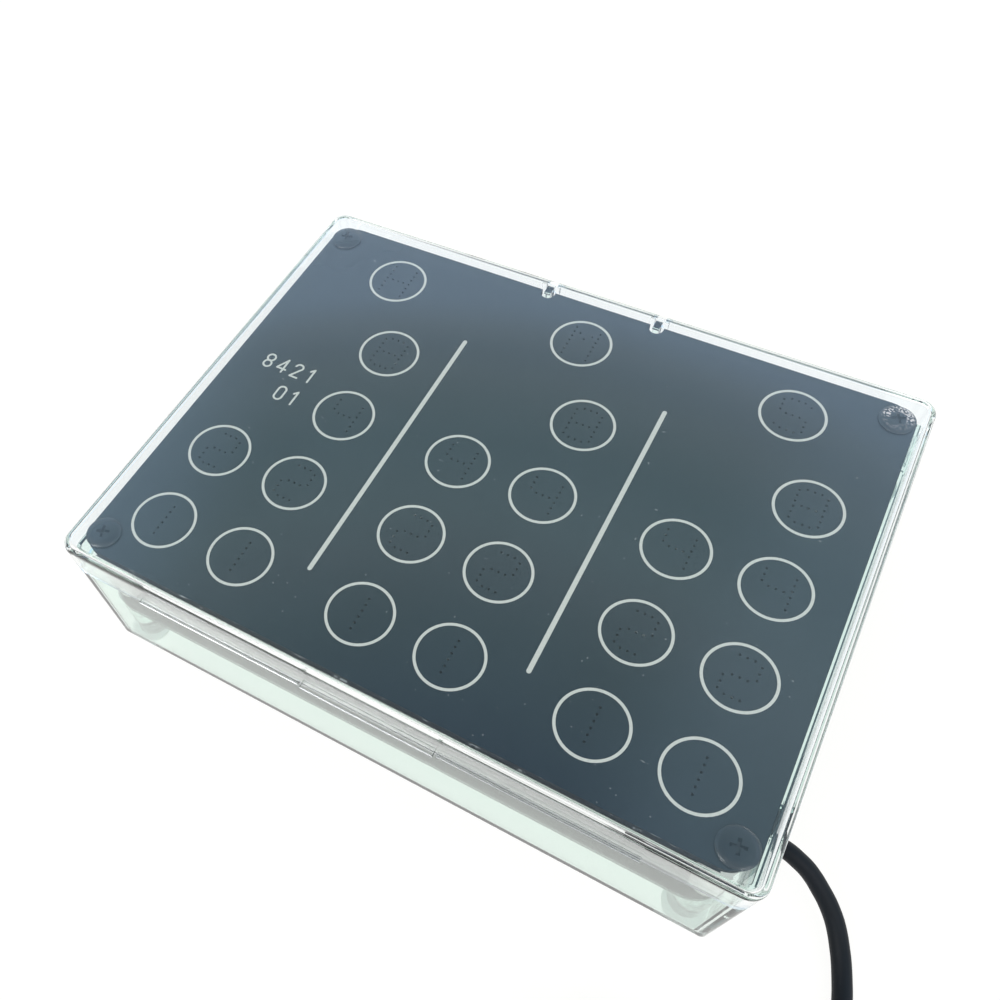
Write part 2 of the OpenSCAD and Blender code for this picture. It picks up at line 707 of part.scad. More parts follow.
module leds() {
    color([0.97, 0.96, 0.9]) for (ring = rings) translate([ring[0], ring[1], z_board_top]) difference() {
        translate([-led_w / 2, -led_w / 2, 0]) cube([led_w, led_w, led_h]);
        translate([0, 0, led_h - 0.4]) cylinder(d = led_w * 0.8, h = 1);
    }
}

// A chip under the board: its body, and bent legs along its two long sides
module chip(spot, size, leg_pairs, leg_pitch) {
    stand = 0.3;
    leg_w = 0.45;
    leg_t = 0.25;
    reach = 1.2;
    side = size[1] / 2;
    low = -stand - size[2] / 2;
    translate([spot[0], spot[1], z_board]) {
        block([-size[0] / 2, -side, -stand - size[2]], [size[0] / 2, side, -stand]);
        for (i = [0:leg_pairs - 1], turn = [0, 180]) rotate(turn)
            translate([(i - (leg_pairs - 1) / 2) * leg_pitch - leg_w / 2, side, 0]) {
                translate([0, -0.2, low - leg_t]) cube([leg_w, 0.8, leg_t]);
                translate([0, 0.35, low - leg_t]) cube([leg_w, leg_t, -low]);
                translate([0, 0.35, -leg_t]) cube([leg_w, reach - 0.35, leg_t]);
            }
    }
}

module microcontroller() {
    color([0.12, 0.12, 0.12]) chip(dip_spot, dip_size, 14, 2.54);
}

module led_drivers() {
    color([0.12, 0.12, 0.12]) for (s = [-1, 1])
        chip([s * driver_spot[0], driver_spot[1]], wide_chip_size, 12, 1.27);
}

module clock_chip() {
    color([0.12, 0.12, 0.12]) chip(clock_spot, clock_chip_size, 8, 1.27);
}

module crystal() {
    can = [6.4, 4.7, 3.2];
    color("silver") translate([crystal_spot[0], crystal_spot[1], z_board - can[2]]) linear_extrude(can[2]) {
        square([can[0], can[1]], center = true);
        for (s = [-1, 1]) translate([s * can[0] / 2, 0]) circle(d = can[1]);
    }
}

module cell_holder() {
    low = z_board - cell_floor - cell_t - 0.8;
    clip_w = 6;
    color([0.15, 0.15, 0.15]) translate([cell_spot[0], cell_spot[1], 0]) difference() {
        union() {
            translate([0, 0, low]) cylinder(d = cell_d + 2 * cell_ring, h = z_board - low);
            block([-cell_d / 2 - 3.5, -clip_w / 2, low], [cell_d / 2 + 3.5, clip_w / 2, z_board]);
        }
        translate([0, 0, low - 1]) cylinder(d = cell_d + 0.4, h = z_board - cell_floor - low + 1);
        block([-clip_w, -cell_d, low - 1], [clip_w, 0, z_board - cell_floor - 1.6]);
    }
}

module coin_cell() {
    lip = 0.4;
    color("silver") translate([cell_spot[0], cell_spot[1], z_board - cell_floor - cell_t]) {
        cylinder(d = cell_d, h = cell_t - lip);
        translate([0, 0, cell_t - lip - eps]) cylinder(d = cell_d - 3, h = lip + eps);
    }
}

module regulator() {
    color([0.14, 0.14, 0.14]) chip(regulator_spot, regulator_size, 3, 2.3);
}

module resistors() {
    y = switch_front - switch_d - part_gap / 2;
    color([0.16, 0.16, 0.17]) for (i = [0:len(rings) - 1])
        translate([(i - (len(rings) - 1) / 2) * resistor_pitch - resistor_size[0] / 2, y - resistor_size[1],
            z_board - resistor_size[2]]) cube(resistor_size);
}

module filter_capacitors() {
    base = can_d + 0.5;
    color([0.75, 0.76, 0.78]) for (i = [0, 1])
        translate([socket_low_x - part_gap - can_d / 2 - i * (can_d + 2.2), exit_y + 1.8, z_board]) {
            translate([-base / 2, -base / 2, -can_base]) cube([base, base, can_base]);
            translate([0, 0, -can_base - can_h]) cylinder(d = can_d, h = can_h + eps);
        }
}

// ---- Setting buttons ----

module tact_switches() {
    color([0.16, 0.16, 0.17]) for (x = button_xs) difference() {
        block([x - switch_w / 2, switch_front - switch_d, button_z - 3],
            [x + switch_w / 2, switch_front, z_board]);
        rod_y([x, switch_front - stem_in - button_travel - 0.4, button_z], stem_d + 0.4, 4);
    }
}

module button(x) {
    flange_back = wall_in_y - flange_seat;
    rod_y([x, flange_back - button_flange_t, button_z], cap_d,
        button_tip - 0.4 - flange_back + button_flange_t);
    translate([x, button_tip - 0.4 - eps, button_z]) rotate([-90, 0, 0])
        cylinder(d1 = cap_d, d2 = cap_d - 0.8, h = 0.4 + eps);
    rod_y([x, flange_back - button_flange_t, button_z], button_flange_d, button_flange_t);
    rod_y([x, switch_front - stem_in, button_z], stem_d,
        flange_back - button_flange_t - switch_front + stem_in + eps);
}

module hour_button() {
    color([0.1, 0.1, 0.1]) button(hour_x);
}

module minute_button() {
    color([0.1, 0.1, 0.1]) button(minute_x);
}

// ---- Power ----

module power_socket() {
    color([0.93, 0.92, 0.88]) difference() {
        block([socket_low_x, exit_y - 4, z_board - 7.6], [socket_x + 2, exit_y + 4, z_board]);
        block([socket_x - 6, exit_y - 3, socket_z - 2.6], [socket_x + 3, exit_y + 3, socket_z + 2.6]);
    }
}

module power_plug() {
    color([0.96, 0.96, 0.94]) block([socket_x - 6, exit_y - 2.8, socket_z - 2.4],
        [socket_x + 6, exit_y + 2.8, socket_z + 2.4]);
}

module inner_lead() {
    color([0.1, 0.1, 0.1]) swept(inner_points, cable_d - 0.2, 12);
}

module cable_grommet() {
    inner = hollow_w / 2;
    color([0.12, 0.12, 0.12]) difference() {
        union() {
            rod_x([inner - flange_t, exit_y, exit_z], grommet_flange_d, flange_t);
            rod_x([inner - eps, exit_y, exit_z], grommet_neck_d, base_wall + 2 * eps);
            rod_x([wall_x, exit_y, exit_z], grommet_flange_d, flange_t);
            translate([wall_x + flange_t - eps, exit_y, exit_z]) rotate([0, 90, 0])
                cylinder(d1 = grommet_neck_d, d2 = cable_d + 1.2, h = grommet_taper - flange_t);
        }
        rod_x([inner - flange_t - 1, exit_y, exit_z], cable_d + 0.2,
            base_wall + flange_t + grommet_taper + 3);
    }
}

module cable_lead() {
    color([0.09, 0.09, 0.1]) swept(lead_points, cable_d, 8);
}

module cable_coil() {
    color([0.09, 0.09, 0.1]) swept(coil_points, cable_d, 6);
}

module cable_tail() {
    color([0.09, 0.09, 0.1]) swept(tail_points, cable_d, 8);
}

// A flat band round the coil's bundle
module cable_tie() {
    angle = 135;
    near = coil_in_r - cable_d / 2 - 0.4;
    far = coil_out_r + cable_d / 2 + 0.4;
    high = coil_high_z + cable_d / 2 + 0.4;
    color([0.15, 0.15, 0.16]) translate([coil_mid[0], coil_mid[1], 0]) rotate([0, 0, angle])
        translate([0, 1.75, 0]) rotate([90, 0, 0]) linear_extrude(3.5) difference() {
            translate([near - tie_t, 0]) square([far - near + 2 * tie_t, high + tie_t]);
            translate([near, tie_t]) square([far - near, high - tie_t]);
        }
}

module usb_plug_body() {
    x_low = plug_x - relief_l - plug_body_l;
    color([0.1, 0.1, 0.11]) difference() {
        union() {
            translate([x_low + plug_body_l / 2, plug_y, plug_z - plug_body_h / 2]) linear_extrude(plug_body_h)
                round_rect(plug_body_l, plug_body_w, 2.4);
            translate([plug_x - relief_l - eps, plug_y, plug_z]) rotate([0, 90, 0])
                cylinder(d1 = 6.6, d2 = cable_d + 0.8, h = relief_l);
        }
        rod_x([plug_x - relief_l, plug_y, plug_z], cable_d, relief_l + 1);
        block([x_low - 1, plug_y - shell_w / 2 - 0.05, plug_z - shell_h / 2 - 0.05],
            [x_low + shell_in, plug_y + shell_w / 2 + 0.05, plug_z + shell_h / 2 + 0.05]);
    }
    color([0.09, 0.09, 0.1]) rod_x([plug_x - relief_l - eps, plug_y, plug_z], cable_d - 0.1, relief_l);
}

module usb_plug_shell() {
    x_high = plug_x - relief_l - plug_body_l + shell_in;
    color("silver") difference() {
        block([x_high - shell_l, plug_y - shell_w / 2, plug_z - shell_h / 2],
            [x_high, plug_y + shell_w / 2, plug_z + shell_h / 2]);
        block([x_high - shell_l - 1, plug_y - shell_w / 2 + shell_t, plug_z - shell_h / 2 + shell_t],
            [x_high + 1, plug_y + shell_w / 2 - shell_t, plug_z + shell_h / 2 - shell_t]);
        for (s = [-1, 1]) block([x_high - shell_l + 4.5, plug_y + s * 3 - 1.1, plug_z - shell_h],
            [x_high - shell_l + 6.7, plug_y + s * 3 + 1.1, plug_z + shell_h]);
    }
}

module usb_plug_tongue() {
    x_high = plug_x - relief_l - plug_body_l + shell_in;
    color([0.93, 0.93, 0.92]) block(
        [x_high - shell_l + 0.8, plug_y - shell_w / 2 + shell_t, plug_z - shell_h / 2 + shell_t],
        [x_high, plug_y + shell_w / 2 - shell_t, plug_z - shell_h / 2 + shell_t + 1.9]);
}

base_tray();
lid();
hinge_pins();
rubber_feet();
spacers();
panel_screws();
front_panel();
panel_print();
diffuser_sheet();
light_baffle();
baffle_screws();
led_board();
leds();
microcontroller();
led_drivers();
clock_chip();
crystal();
cell_holder();
coin_cell();
regulator();
resistors();
filter_capacitors();
tact_switches();
hour_button();
minute_button();
power_socket();
power_plug();
inner_lead();
cable_grommet();
cable_lead();
cable_coil();
cable_tail();
cable_tie();
usb_plug_body();
usb_plug_shell();
usb_plug_tongue();
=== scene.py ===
"""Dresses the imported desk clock: clear case, dark panel, lamps, electronics and power cable.

Every length is in metres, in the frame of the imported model. Sizes given in millimetres are
multiplied by MM where they are used.
"""

import json
import logging
import math
from dataclasses import dataclass, field
from enum import Enum

import bmesh
import bpy
from mathutils import Matrix, Vector

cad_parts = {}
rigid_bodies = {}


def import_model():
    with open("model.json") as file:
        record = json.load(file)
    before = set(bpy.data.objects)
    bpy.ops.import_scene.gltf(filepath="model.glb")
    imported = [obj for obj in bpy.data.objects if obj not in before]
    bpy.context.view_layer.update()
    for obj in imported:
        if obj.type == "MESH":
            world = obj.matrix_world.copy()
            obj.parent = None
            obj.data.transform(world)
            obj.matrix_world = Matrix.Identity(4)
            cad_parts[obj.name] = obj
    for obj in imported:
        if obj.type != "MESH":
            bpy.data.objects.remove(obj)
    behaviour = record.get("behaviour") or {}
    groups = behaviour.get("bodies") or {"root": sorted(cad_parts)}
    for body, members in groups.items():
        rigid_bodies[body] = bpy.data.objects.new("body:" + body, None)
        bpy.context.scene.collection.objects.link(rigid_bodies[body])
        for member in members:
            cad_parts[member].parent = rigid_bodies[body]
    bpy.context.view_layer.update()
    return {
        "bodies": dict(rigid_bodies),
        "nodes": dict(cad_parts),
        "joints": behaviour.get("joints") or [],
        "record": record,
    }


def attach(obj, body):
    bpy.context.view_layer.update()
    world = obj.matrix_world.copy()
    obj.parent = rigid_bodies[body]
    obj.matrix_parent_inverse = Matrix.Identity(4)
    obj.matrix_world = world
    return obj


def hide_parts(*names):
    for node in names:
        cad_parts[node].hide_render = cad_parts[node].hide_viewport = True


LOG = logging.getLogger("desk_clock")
MM = 0.001
Point = tuple[float, float, float]
Colour = tuple[float, float, float]


# ---------------------------------------------------------------- shader maths


class Wire:
    """A shader socket on which Python's operators add Math nodes."""

    def __init__(self, recipe: "Recipe", socket: bpy.types.NodeSocket) -> None:
        """Wraps one output socket of a recipe's tree."""
        self.recipe = recipe
        self.socket = socket

    def _math(self, operation: str, *values: "Wire | float") -> "Wire":
        """Adds one Math node.

        Args:
            operation: Blender's name of the operation.
            values: what goes into the node, in order.

        Returns:
            The node's result.
        """
        return self.recipe.node("ShaderNodeMath", {"operation": operation}, *values)

    def __add__(self, other: "Wire | float") -> "Wire":
        """Sum."""
        return self._math("ADD", self, other)

    __radd__ = __add__

    def __sub__(self, other: "Wire | float") -> "Wire":
        """Difference."""
        return self._math("SUBTRACT", self, other)

    def __rsub__(self, other: "Wire | float") -> "Wire":
        """Difference from a number."""
        return self._math("SUBTRACT", other, self)

    def __mul__(self, other: "Wire | float") -> "Wire":
        """Product."""
        return self._math("MULTIPLY", self, other)

    __rmul__ = __mul__

    def __pow__(self, other: "Wire | float") -> "Wire":
        """Power."""
        return self._math("POWER", self, other)

    def __gt__(self, other: "Wire | float") -> "Wire":
        """1 where this is greater, otherwise 0."""
        return self._math("GREATER_THAN", self, other)

    def __lt__(self, other: "Wire | float") -> "Wire":
        """1 where this is less, otherwise 0."""
        return self._math("LESS_THAN", self, other)

    def most(self, other: "Wire | float") -> "Wire":
        """The greater of the two."""
        return self._math("MAXIMUM", self, other)

    def away(self) -> "Wire":
        """The distance from zero."""
        return self._math("ABSOLUTE", self)

    def wrapped(self, period: float) -> "Wire":
        """The rest after division by a period."""
        return self._math("FLOORED_MODULO", self, period)

    def eased(self, low: float, high: float) -> "Wire":
        """0 below low, 1 above high and smooth between them."""
        return self.recipe.node(
            "ShaderNodeMapRange",
            {"interpolation_type": "SMOOTHSTEP"},
            Value=self,
            **{"From Min": low, "From Max": high},
        )


class Recipe:
    """One material or world tree that is being written."""

    def __init__(self, owner: bpy.types.Material | bpy.types.World) -> None:
        """Clears the owner's tree."""
        owner.use_nodes = True
        self.owner = owner
        self.tree = owner.node_tree
        self.tree.nodes.clear()

    def node(
        self, kind: str, settings: dict | None = None, *values: object, **named: object
    ) -> Wire:
        """Adds a node of any type.

        Args:
            kind: the node's type.
            settings: its properties, set before its sockets; a ramp's stops are under "stops".
            values: numbers, colours or wires for its enabled inputs, in order.
            named: the same by the input's name.

        Returns:
            The node's first enabled output.
        """
        made = self.tree.nodes.new(kind)
        for key, value in (settings or {}).items():
            if key == "stops":
                self._set_stops(made.color_ramp, value)
            else:
                setattr(made, key, value)
        sockets = [s for s in made.inputs if s.enabled]
        for socket, value in zip(sockets, values):
            self._feed(socket, value)
        for key, value in named.items():
            self._feed(next(s for s in sockets if s.name == key), value)
        return Wire(self, next(s for s in made.outputs if s.enabled))

    @staticmethod
    def _set_stops(ramp: bpy.types.ColorRamp, stops: list) -> None:
        """Gives a colour ramp its stops, each (position, colour)."""
        while len(ramp.elements) > 1:
            ramp.elements.remove(ramp.elements[-1])
        for index, (place, colour) in enumerate(stops):
            stop = ramp.elements[0] if index == 0 else ramp.elements.new(place)
            stop.position = place
            stop.color = (*colour, 1.0)

    def _feed(self, socket: bpy.types.NodeSocket, value: object) -> None:
        """Links a wire to a socket, or sets the socket's own value."""
        if isinstance(value, Wire):
            self.tree.links.new(value.socket, socket)
        elif isinstance(value, (tuple, list)) and socket.type == "RGBA":
            socket.default_value = (*value[:3], 1.0)
        elif value is not None:
            socket.default_value = value

    def place(self) -> Wire:
        """The object coordinates."""
        made = self.tree.nodes.new("ShaderNodeTexCoord")
        return Wire(self, made.outputs["Object"])

    def stretched(self, scale: Point) -> Wire:
        """The object coordinates, stretched."""
        return self.node("ShaderNodeMapping", None, self.place(), **{"Scale": scale})

    def axes(self) -> tuple[Wire, Wire, Wire]:
        """The object coordinates, one wire for each axis."""
        made = self.tree.nodes.new("ShaderNodeSeparateXYZ")
        self.tree.links.new(self.place().socket, made.inputs[0])
        return tuple(Wire(self, s) for s in made.outputs)

    def ray(self, name: str) -> Wire:
        """One output of Light Path, such as "Is Shadow Ray"."""
        made = self.tree.nodes.new("ShaderNodeLightPath")
        return Wire(self, made.outputs[name])

    def noise(self, scale: float, detail: float = 2.0, rough: float = 0.5) -> Wire:
        """Noise over the object coordinates, from 0 to 1."""
        return self.node(
            "ShaderNodeTexNoise",
            None,
            Vector=self.place(),
            Scale=scale,
            Detail=detail,
            Roughness=rough,
        )

    def mixed(self, share: Wire | float, first: object, second: object) -> Wire:
        """A blend of two colours.

        Args:
            share: how much of the second there is.
            first: a colour or a wire.
            second: a colour or a wire.

        Returns:
            The blended colour.
        """
        made = self.tree.nodes.new("ShaderNodeMix")
        made.data_type = "RGBA"
        for key, value in (("Factor", share), ("A", first), ("B", second)):
            socket = next(s for s in made.inputs if s.enabled and s.name == key)
            self._feed(socket, value)
        return Wire(self, next(s for s in made.outputs if s.enabled))

    def toned(self, share: Wire | float, colour: Colour, tone: float) -> Wire:
        """A colour that goes over to its own tone, lighter or darker, by a share."""
        return self.mixed(share, colour, tuple(c * tone for c in colour))

    def bump(self, height: Wire, depth: float, strength: float = 1.0) -> Wire:
        """A bumped normal from a height of 0 to 1 and its depth in metres."""
        return self.node(
            "ShaderNodeBump", None, Strength=strength, Distance=depth, Height=height
        )

    def principled(self, **sockets: object) -> Wire:
        """A Principled shader; a socket's name is given with underscores for blanks."""
        named = {key.replace("_", " "): value for key, value in sockets.items()}
        return self.node("ShaderNodeBsdfPrincipled", None, **named)

    def finish(self, surface: Wire, volume: Wire | None = None) -> None:
        """Sends the shaders to the tree's output."""
        kind = (
            "ShaderNodeOutputWorld"
            if isinstance(self.owner, bpy.types.World)
            else "ShaderNodeOutputMaterial"
        )
        out = self.tree.nodes.new(kind)
        self.tree.links.new(surface.socket, out.inputs["Surface"])
        if volume is not None:
            self.tree.links.new(volume.socket, out.inputs["Volume"])


# ---------------------------------------------------------------- finishes


@dataclass(frozen=True)
class Finish:
    """A finish that makes one material."""

    name: str

    def write(self, recipe: Recipe) -> None:
        """Fills the material's tree."""
        raise NotImplementedError

    def material(self) -> bpy.types.Material:
        """The finish's material, made once."""
        made = bpy.data.materials.get(self.name)
        if made is None:
            made = bpy.data.materials.new(self.name)
            self.write(Recipe(made))
        return made


@dataclass(frozen=True)
class ClearPlastic(Finish):
    """Polished see-through moulding, faintly rippled, with a tint in its depth and a surface tint
    that can also carry painted shade.
    """

    tint: Colour = (0.99, 0.996, 0.992)
    depth_colour: Colour = (0.70, 0.86, 0.80)
    density: float = 8.0
    index: float = 1.53
    ripple: float = 0.08
    ripple_scale: float = 55.0
    ripple_depth: float = 0.00002
    passing: Colour = (0.97, 0.985, 0.98)

    def write(self, recipe: Recipe) -> None:
        """Glass for what is seen, and plain passage for lamps and stray light."""
        shell = recipe.principled(
            Base_Color=self.tint,
            Roughness=0.0,
            IOR=self.index,
            Transmission_Weight=1.0,
            Normal=recipe.bump(
                recipe.noise(self.ripple_scale, 1.0), self.ripple_depth, self.ripple
            ),
        )
        passing = recipe.node("ShaderNodeBsdfTransparent", None, Color=self.passing)
        stray = recipe.ray("Is Shadow Ray").most(recipe.ray("Is Diffuse Ray"))
        both = recipe.node("ShaderNodeMixShader", None, stray, shell, passing)
        body = recipe.node(
            "ShaderNodeVolumeAbsorption",
            None,
            Color=self.depth_colour,
            Density=self.density,
        )
        recipe.finish(both, body)


@dataclass(frozen=True)
class PanelMask(Finish):
    """The panel's dark, glossy face with faint specks of dust, and painted glints on its sawn
    edge.
    """

    colour: Colour = (0.010, 0.019, 0.026)
    dust: Colour = (0.30, 0.32, 0.32)
    sawn_colour: Colour = (0.006, 0.007, 0.009)
    chip_colour: Colour = (0.42, 0.45, 0.46)
    rough: float = 0.09
    sawn_rough: float = 0.75
    face: float = 0.0416
    face_skin: float = 0.00002

    def write(self, recipe: Recipe) -> None:
        """Dark mask, orange-peel relief and dust; the sawn edge and the holes are rough, with pale
        dashes painted on them as glints.
        """
        cloud = recipe.noise(28.0, 3.0).eased(0.3, 0.7)
        base = recipe.toned(cloud, self.colour, 1.25)
        specks = recipe.noise(1500.0, 0.0).eased(0.865, 0.88)
        dusty = recipe.mixed(specks * 0.45, base, self.dust)
        sawn = recipe.axes()[2] < self.face - self.face_skin
        # Painted glints: pale dashes along the sawn edge and the hole walls, a lighter base colour
        # where a glint would catch the light.
        edge_glints = recipe.node(
            "ShaderNodeTexNoise",
            None,
            Vector=recipe.stretched((260.0, 260.0, 900.0)),
            Scale=1.0,
            Detail=3.0,
            Roughness=0.6,
        ).eased(0.60, 0.68)
        edge = recipe.mixed(edge_glints * 0.8, self.sawn_colour, self.chip_colour)
        recipe.finish(
            recipe.principled(
                Base_Color=recipe.mixed(sawn, dusty, edge),
                Roughness=(self.rough + specks * 0.3 + cloud * 0.04).most(sawn * self.sawn_rough),
                IOR=1.5,
                Normal=recipe.bump(recipe.noise(500.0, 1.0), 0.000001, 0.3),
            )
        )


@dataclass(frozen=True)
class Ink(Finish):
    """Screen-printed ink with a slightly uneven coat."""

    colour: Colour = (0.66, 0.68, 0.64)

    def write(self, recipe: Recipe) -> None:
        """Off-white, a little thinner in places."""
        thin = recipe.noise(1800.0, 2.0).eased(0.35, 0.75)
        recipe.finish(
            recipe.principled(
                Base_Color=recipe.toned(thin * 0.35, self.colour, 0.78),
                Roughness=0.45,
                Normal=recipe.bump(thin, 0.00001, 0.4),
            )
        )


@dataclass(frozen=True)
class MouldedPlastic(Finish):
    """Opaque plastic with a fine spark-eroded grain."""

    colour: Colour = (0.02, 0.02, 0.021)
    rough: float = 0.5
    grain: float = 2500.0
    relief: float = 0.00001

    def write(self, recipe: Recipe) -> None:
        """Grain in the relief and a little unevenness in the gloss."""
        grain = recipe.noise(self.grain, 2.0)
        patch = recipe.noise(60.0, 2.0).eased(0.3, 0.7)
        recipe.finish(
            recipe.principled(
                Base_Color=recipe.toned(patch * 0.5, self.colour, 0.86),
                Roughness=self.rough + patch * 0.08,
                Normal=recipe.bump(grain, self.relief, 0.6),
            )
        )


@dataclass(frozen=True)
class Metal(Finish):
    """Plated or blackened metal with fine marks."""

    colour: Colour = (0.72, 0.71, 0.69)
    rough: float = 0.25
    metallic: float = 1.0
    speck: float = 0.0
    relief: float = 0.5
    worn_at: tuple[float, float] | None = None
    bare: Colour = (0.72, 0.66, 0.66)
    ring_inner: tuple[float, float] = (0.0015, 0.0020)
    ring_outer: tuple[float, float] = (0.0031, 0.0036)
    ring_far: tuple[float, float] = (-0.0012, 0.0004)

    def write(self, recipe: Recipe) -> None:
        """Metal whose gloss varies, with pale specks if asked: worn specks all over, or, in a
        ring, specks on a rough head painted pale as glints, most on the side towards +Y.
        """
        marks = recipe.noise(700.0, 4.0, 0.7)
        wear_and_glint = marks.eased(0.52, 0.62) * self.speck
        if self.worn_at is not None:
            x, y, _ = recipe.axes()
            across, along = x - self.worn_at[0], y - self.worn_at[1]
            out = (across * across + along * along) ** 0.5
            ring = out.eased(*self.ring_inner) * (1.0 - out.eased(*self.ring_outer))
            # Painted glints: the ring's pale specks are strongest on its +Y half, the side that
            # catches the light.
            lit_side = along.eased(*self.ring_far) * 0.85 + 0.15
            wear_and_glint = recipe.noise(2100.0, 1.0).eased(0.50, 0.56) * ring * lit_side * self.speck
        recipe.finish(
            recipe.principled(
                Base_Color=recipe.mixed(wear_and_glint, self.colour, self.bare),
                Metallic=self.metallic,
                Roughness=self.rough + marks * 0.15,
                Normal=recipe.bump(marks, 0.00002, self.relief),
            )
        )


@dataclass(frozen=True)
class BoardMask(Finish):
    """Dark solder mask with the faint relief of the copper tracks under it."""

    colour: Colour = (0.012, 0.020, 0.017)
    track: Colour = (0.020, 0.036, 0.029)
    pitch: float = 0.0042
    track_edge: tuple[float, float] = (0.00022, 0.0003)

    def write(self, recipe: Recipe) -> None:
        """Tracks run along X and Y in patches, and show as a slight tone and relief."""
        x, y, _ = recipe.axes()
        turn = recipe.noise(38.0, 0.0) > 0.5
        across = (x * turn + y * (1 - turn)).wrapped(self.pitch)
        line = 1 - (across - self.pitch / 2).away().eased(*self.track_edge)
        recipe.finish(
            recipe.principled(
                Base_Color=recipe.mixed(line, self.colour, self.track),
                Roughness=0.32,
                Normal=recipe.bump(line, 0.00003, 0.6),
            )
        )


@dataclass(frozen=True)
class CableSheath(Finish):
    """Black rubber sheath with slight broad patches of a wiped tone."""

    colour: Colour = (0.004, 0.0065, 0.010)
    wiped: Colour = (0.007, 0.010, 0.015)
    index: float = 1.3

    def write(self, recipe: Recipe) -> None:
        """Matt black with fine relief."""
        fine = recipe.noise(1600.0, 2.0)
        broad = recipe.noise(90.0, 1.0)
        recipe.finish(
            recipe.principled(
                Base_Color=recipe.mixed(broad.eased(0.35, 0.7) * 0.6, self.colour, self.wiped),
                Roughness=0.46 + broad * 0.12,
                IOR=self.index,
                Normal=recipe.bump(fine, 0.00001, 0.5),
            )
        )


@dataclass(frozen=True)
class Frosted(Finish):
    """A thin sheet that scatters light."""

    colour: Colour = (0.80, 0.82, 0.82)

    def write(self, recipe: Recipe) -> None:
        """Pale and matt, with a little light through it."""
        grain = recipe.noise(3000.0, 1.0)
        recipe.finish(
            recipe.principled(
                Base_Color=recipe.toned(grain * 0.4, self.colour, 0.9),
                Roughness=0.7,
                Normal=recipe.bump(grain, 0.00001, 0.4),
            )
        )


CLEAR_LID = ClearPlastic("clear_lid")
# The tray's surface tint is its plastic's mint and also painted shade: it darkens all that is seen
# through the tray, as the shade under the board would.
CLEAR_TRAY = ClearPlastic("clear_tray", tint=(0.86, 0.95, 0.905), density=12.0)
PANEL = PanelMask("panel_mask")
PRINT = Ink("panel_ink")
BLACK_SCREW = Metal("blackened_steel", (0.010, 0.018, 0.025), 0.08, 0.0, relief=0.06)
# A black screw whose rough head carries painted glints: pale specks in a ring, mostly on its back
# half.
GLINTING_SCREW = Metal(
    "worn_black_steel", (0.012, 0.020, 0.027), 0.12, 0.0, 0.95, 0.1, (0.070, 0.0517)
)
NICKEL = Metal("nickel", (0.70, 0.68, 0.64), 0.22)
STEEL = Metal("steel", (0.80, 0.81, 0.81), 0.42)
ALUMINIUM = Metal("can_aluminium", (0.78, 0.79, 0.80), 0.3)
WHITE_NYLON = MouldedPlastic("white_nylon", (0.78, 0.78, 0.74), 0.45, 900.0)
BLACK_ABS = MouldedPlastic("black_plastic", (0.014, 0.014, 0.015), 0.42)
EPOXY = MouldedPlastic("chip_epoxy", (0.018, 0.018, 0.019), 0.55, 4000.0)
IVORY = MouldedPlastic("ivory_nylon", (0.72, 0.69, 0.58), 0.45, 1500.0)
LAMP_BODY = MouldedPlastic("lamp_body", (0.80, 0.79, 0.74), 0.4, 3000.0)
FOOT = MouldedPlastic("pale_rubber", (0.86, 0.90, 0.88), 0.45, 1200.0)
BOARD = BoardMask("dark_board")
SHEATH = CableSheath("cable_sheath")
FROST = Frosted("frosted_sheet")
RESISTOR = MouldedPlastic("resistor_glaze", (0.012, 0.013, 0.016), 0.3, 3000.0)


# ---------------------------------------------------------------- mesh helpers


def new_piece(name: str, mesh: bpy.types.Mesh, finish: Finish, body: str) -> bpy.types.Object:
    """Makes an object of a finished mesh and lets it ride.

    Args:
        name: the piece's name.
        mesh: its mesh, in place.
        finish: what it is made of.
        body: the body that it moves with.

    Returns:
        The object.
    """
    made = bpy.data.objects.new(name, mesh)
    bpy.context.scene.collection.objects.link(made)
    if not mesh.materials:
        mesh.materials.append(finish.material())
    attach(made, body)
    LOG.info("%s rides on %s: %d faces", name, body, len(mesh.polygons))
    return made


def mesh_from(work: bmesh.types.BMesh, name: str, angle: float = 32.0) -> bpy.types.Mesh:
    """Turns a bmesh into a smooth mesh with its sharp edges marked.

    Args:
        work: the bmesh, which is freed.
        name: the mesh's name.
        angle: edges above this many degrees stay sharp.

    Returns:
        The mesh.
    """
    bmesh.ops.recalc_face_normals(work, faces=work.faces)
    mesh = bpy.data.meshes.new(name)
    work.to_mesh(mesh)
    work.free()
    return smoothed(mesh, angle)


def smoothed(mesh: bpy.types.Mesh, angle: float = 32.0) -> bpy.types.Mesh:
    """Shades a mesh smooth and keeps its large faces truly flat.

    Args:
        mesh: the mesh.
        angle: edges above this many degrees stay sharp.

    Returns:
        The same mesh, with its normals weighted by face area.
    """
    work = bmesh.new()
    work.from_mesh(mesh)
    for edge in work.edges:
        edge.smooth = edge.is_manifold and edge.calc_face_angle() < math.radians(angle)
    for face in work.faces:
        face.smooth = True
    work.to_mesh(mesh)
    areas = [f.calc_area() for f in work.faces]
    normals: list[Vector] = [Vector()] * len(mesh.loops)
    for vert in work.verts:
        waiting = set(vert.link_faces)
        while waiting:
            fan, edge_of_fan = [], [waiting.pop()]
            while edge_of_fan:
                face = edge_of_fan.pop()
                fan.append(face)
                for edge in vert.link_edges:
                    if edge.smooth and face in edge.link_faces:
                        fresh = [f for f in edge.link_faces if f in waiting]
                        waiting.difference_update(fresh)
                        edge_of_fan.extend(fresh)
            total = sum((f.normal * areas[f.index] for f in fan), Vector())
            for face in fan:
                corner = next(c for c in face.loops if c.vert == vert)
                normals[corner.index] = total.normalized()
    work.free()
    mesh.normals_split_custom_set(normals)
    return mesh


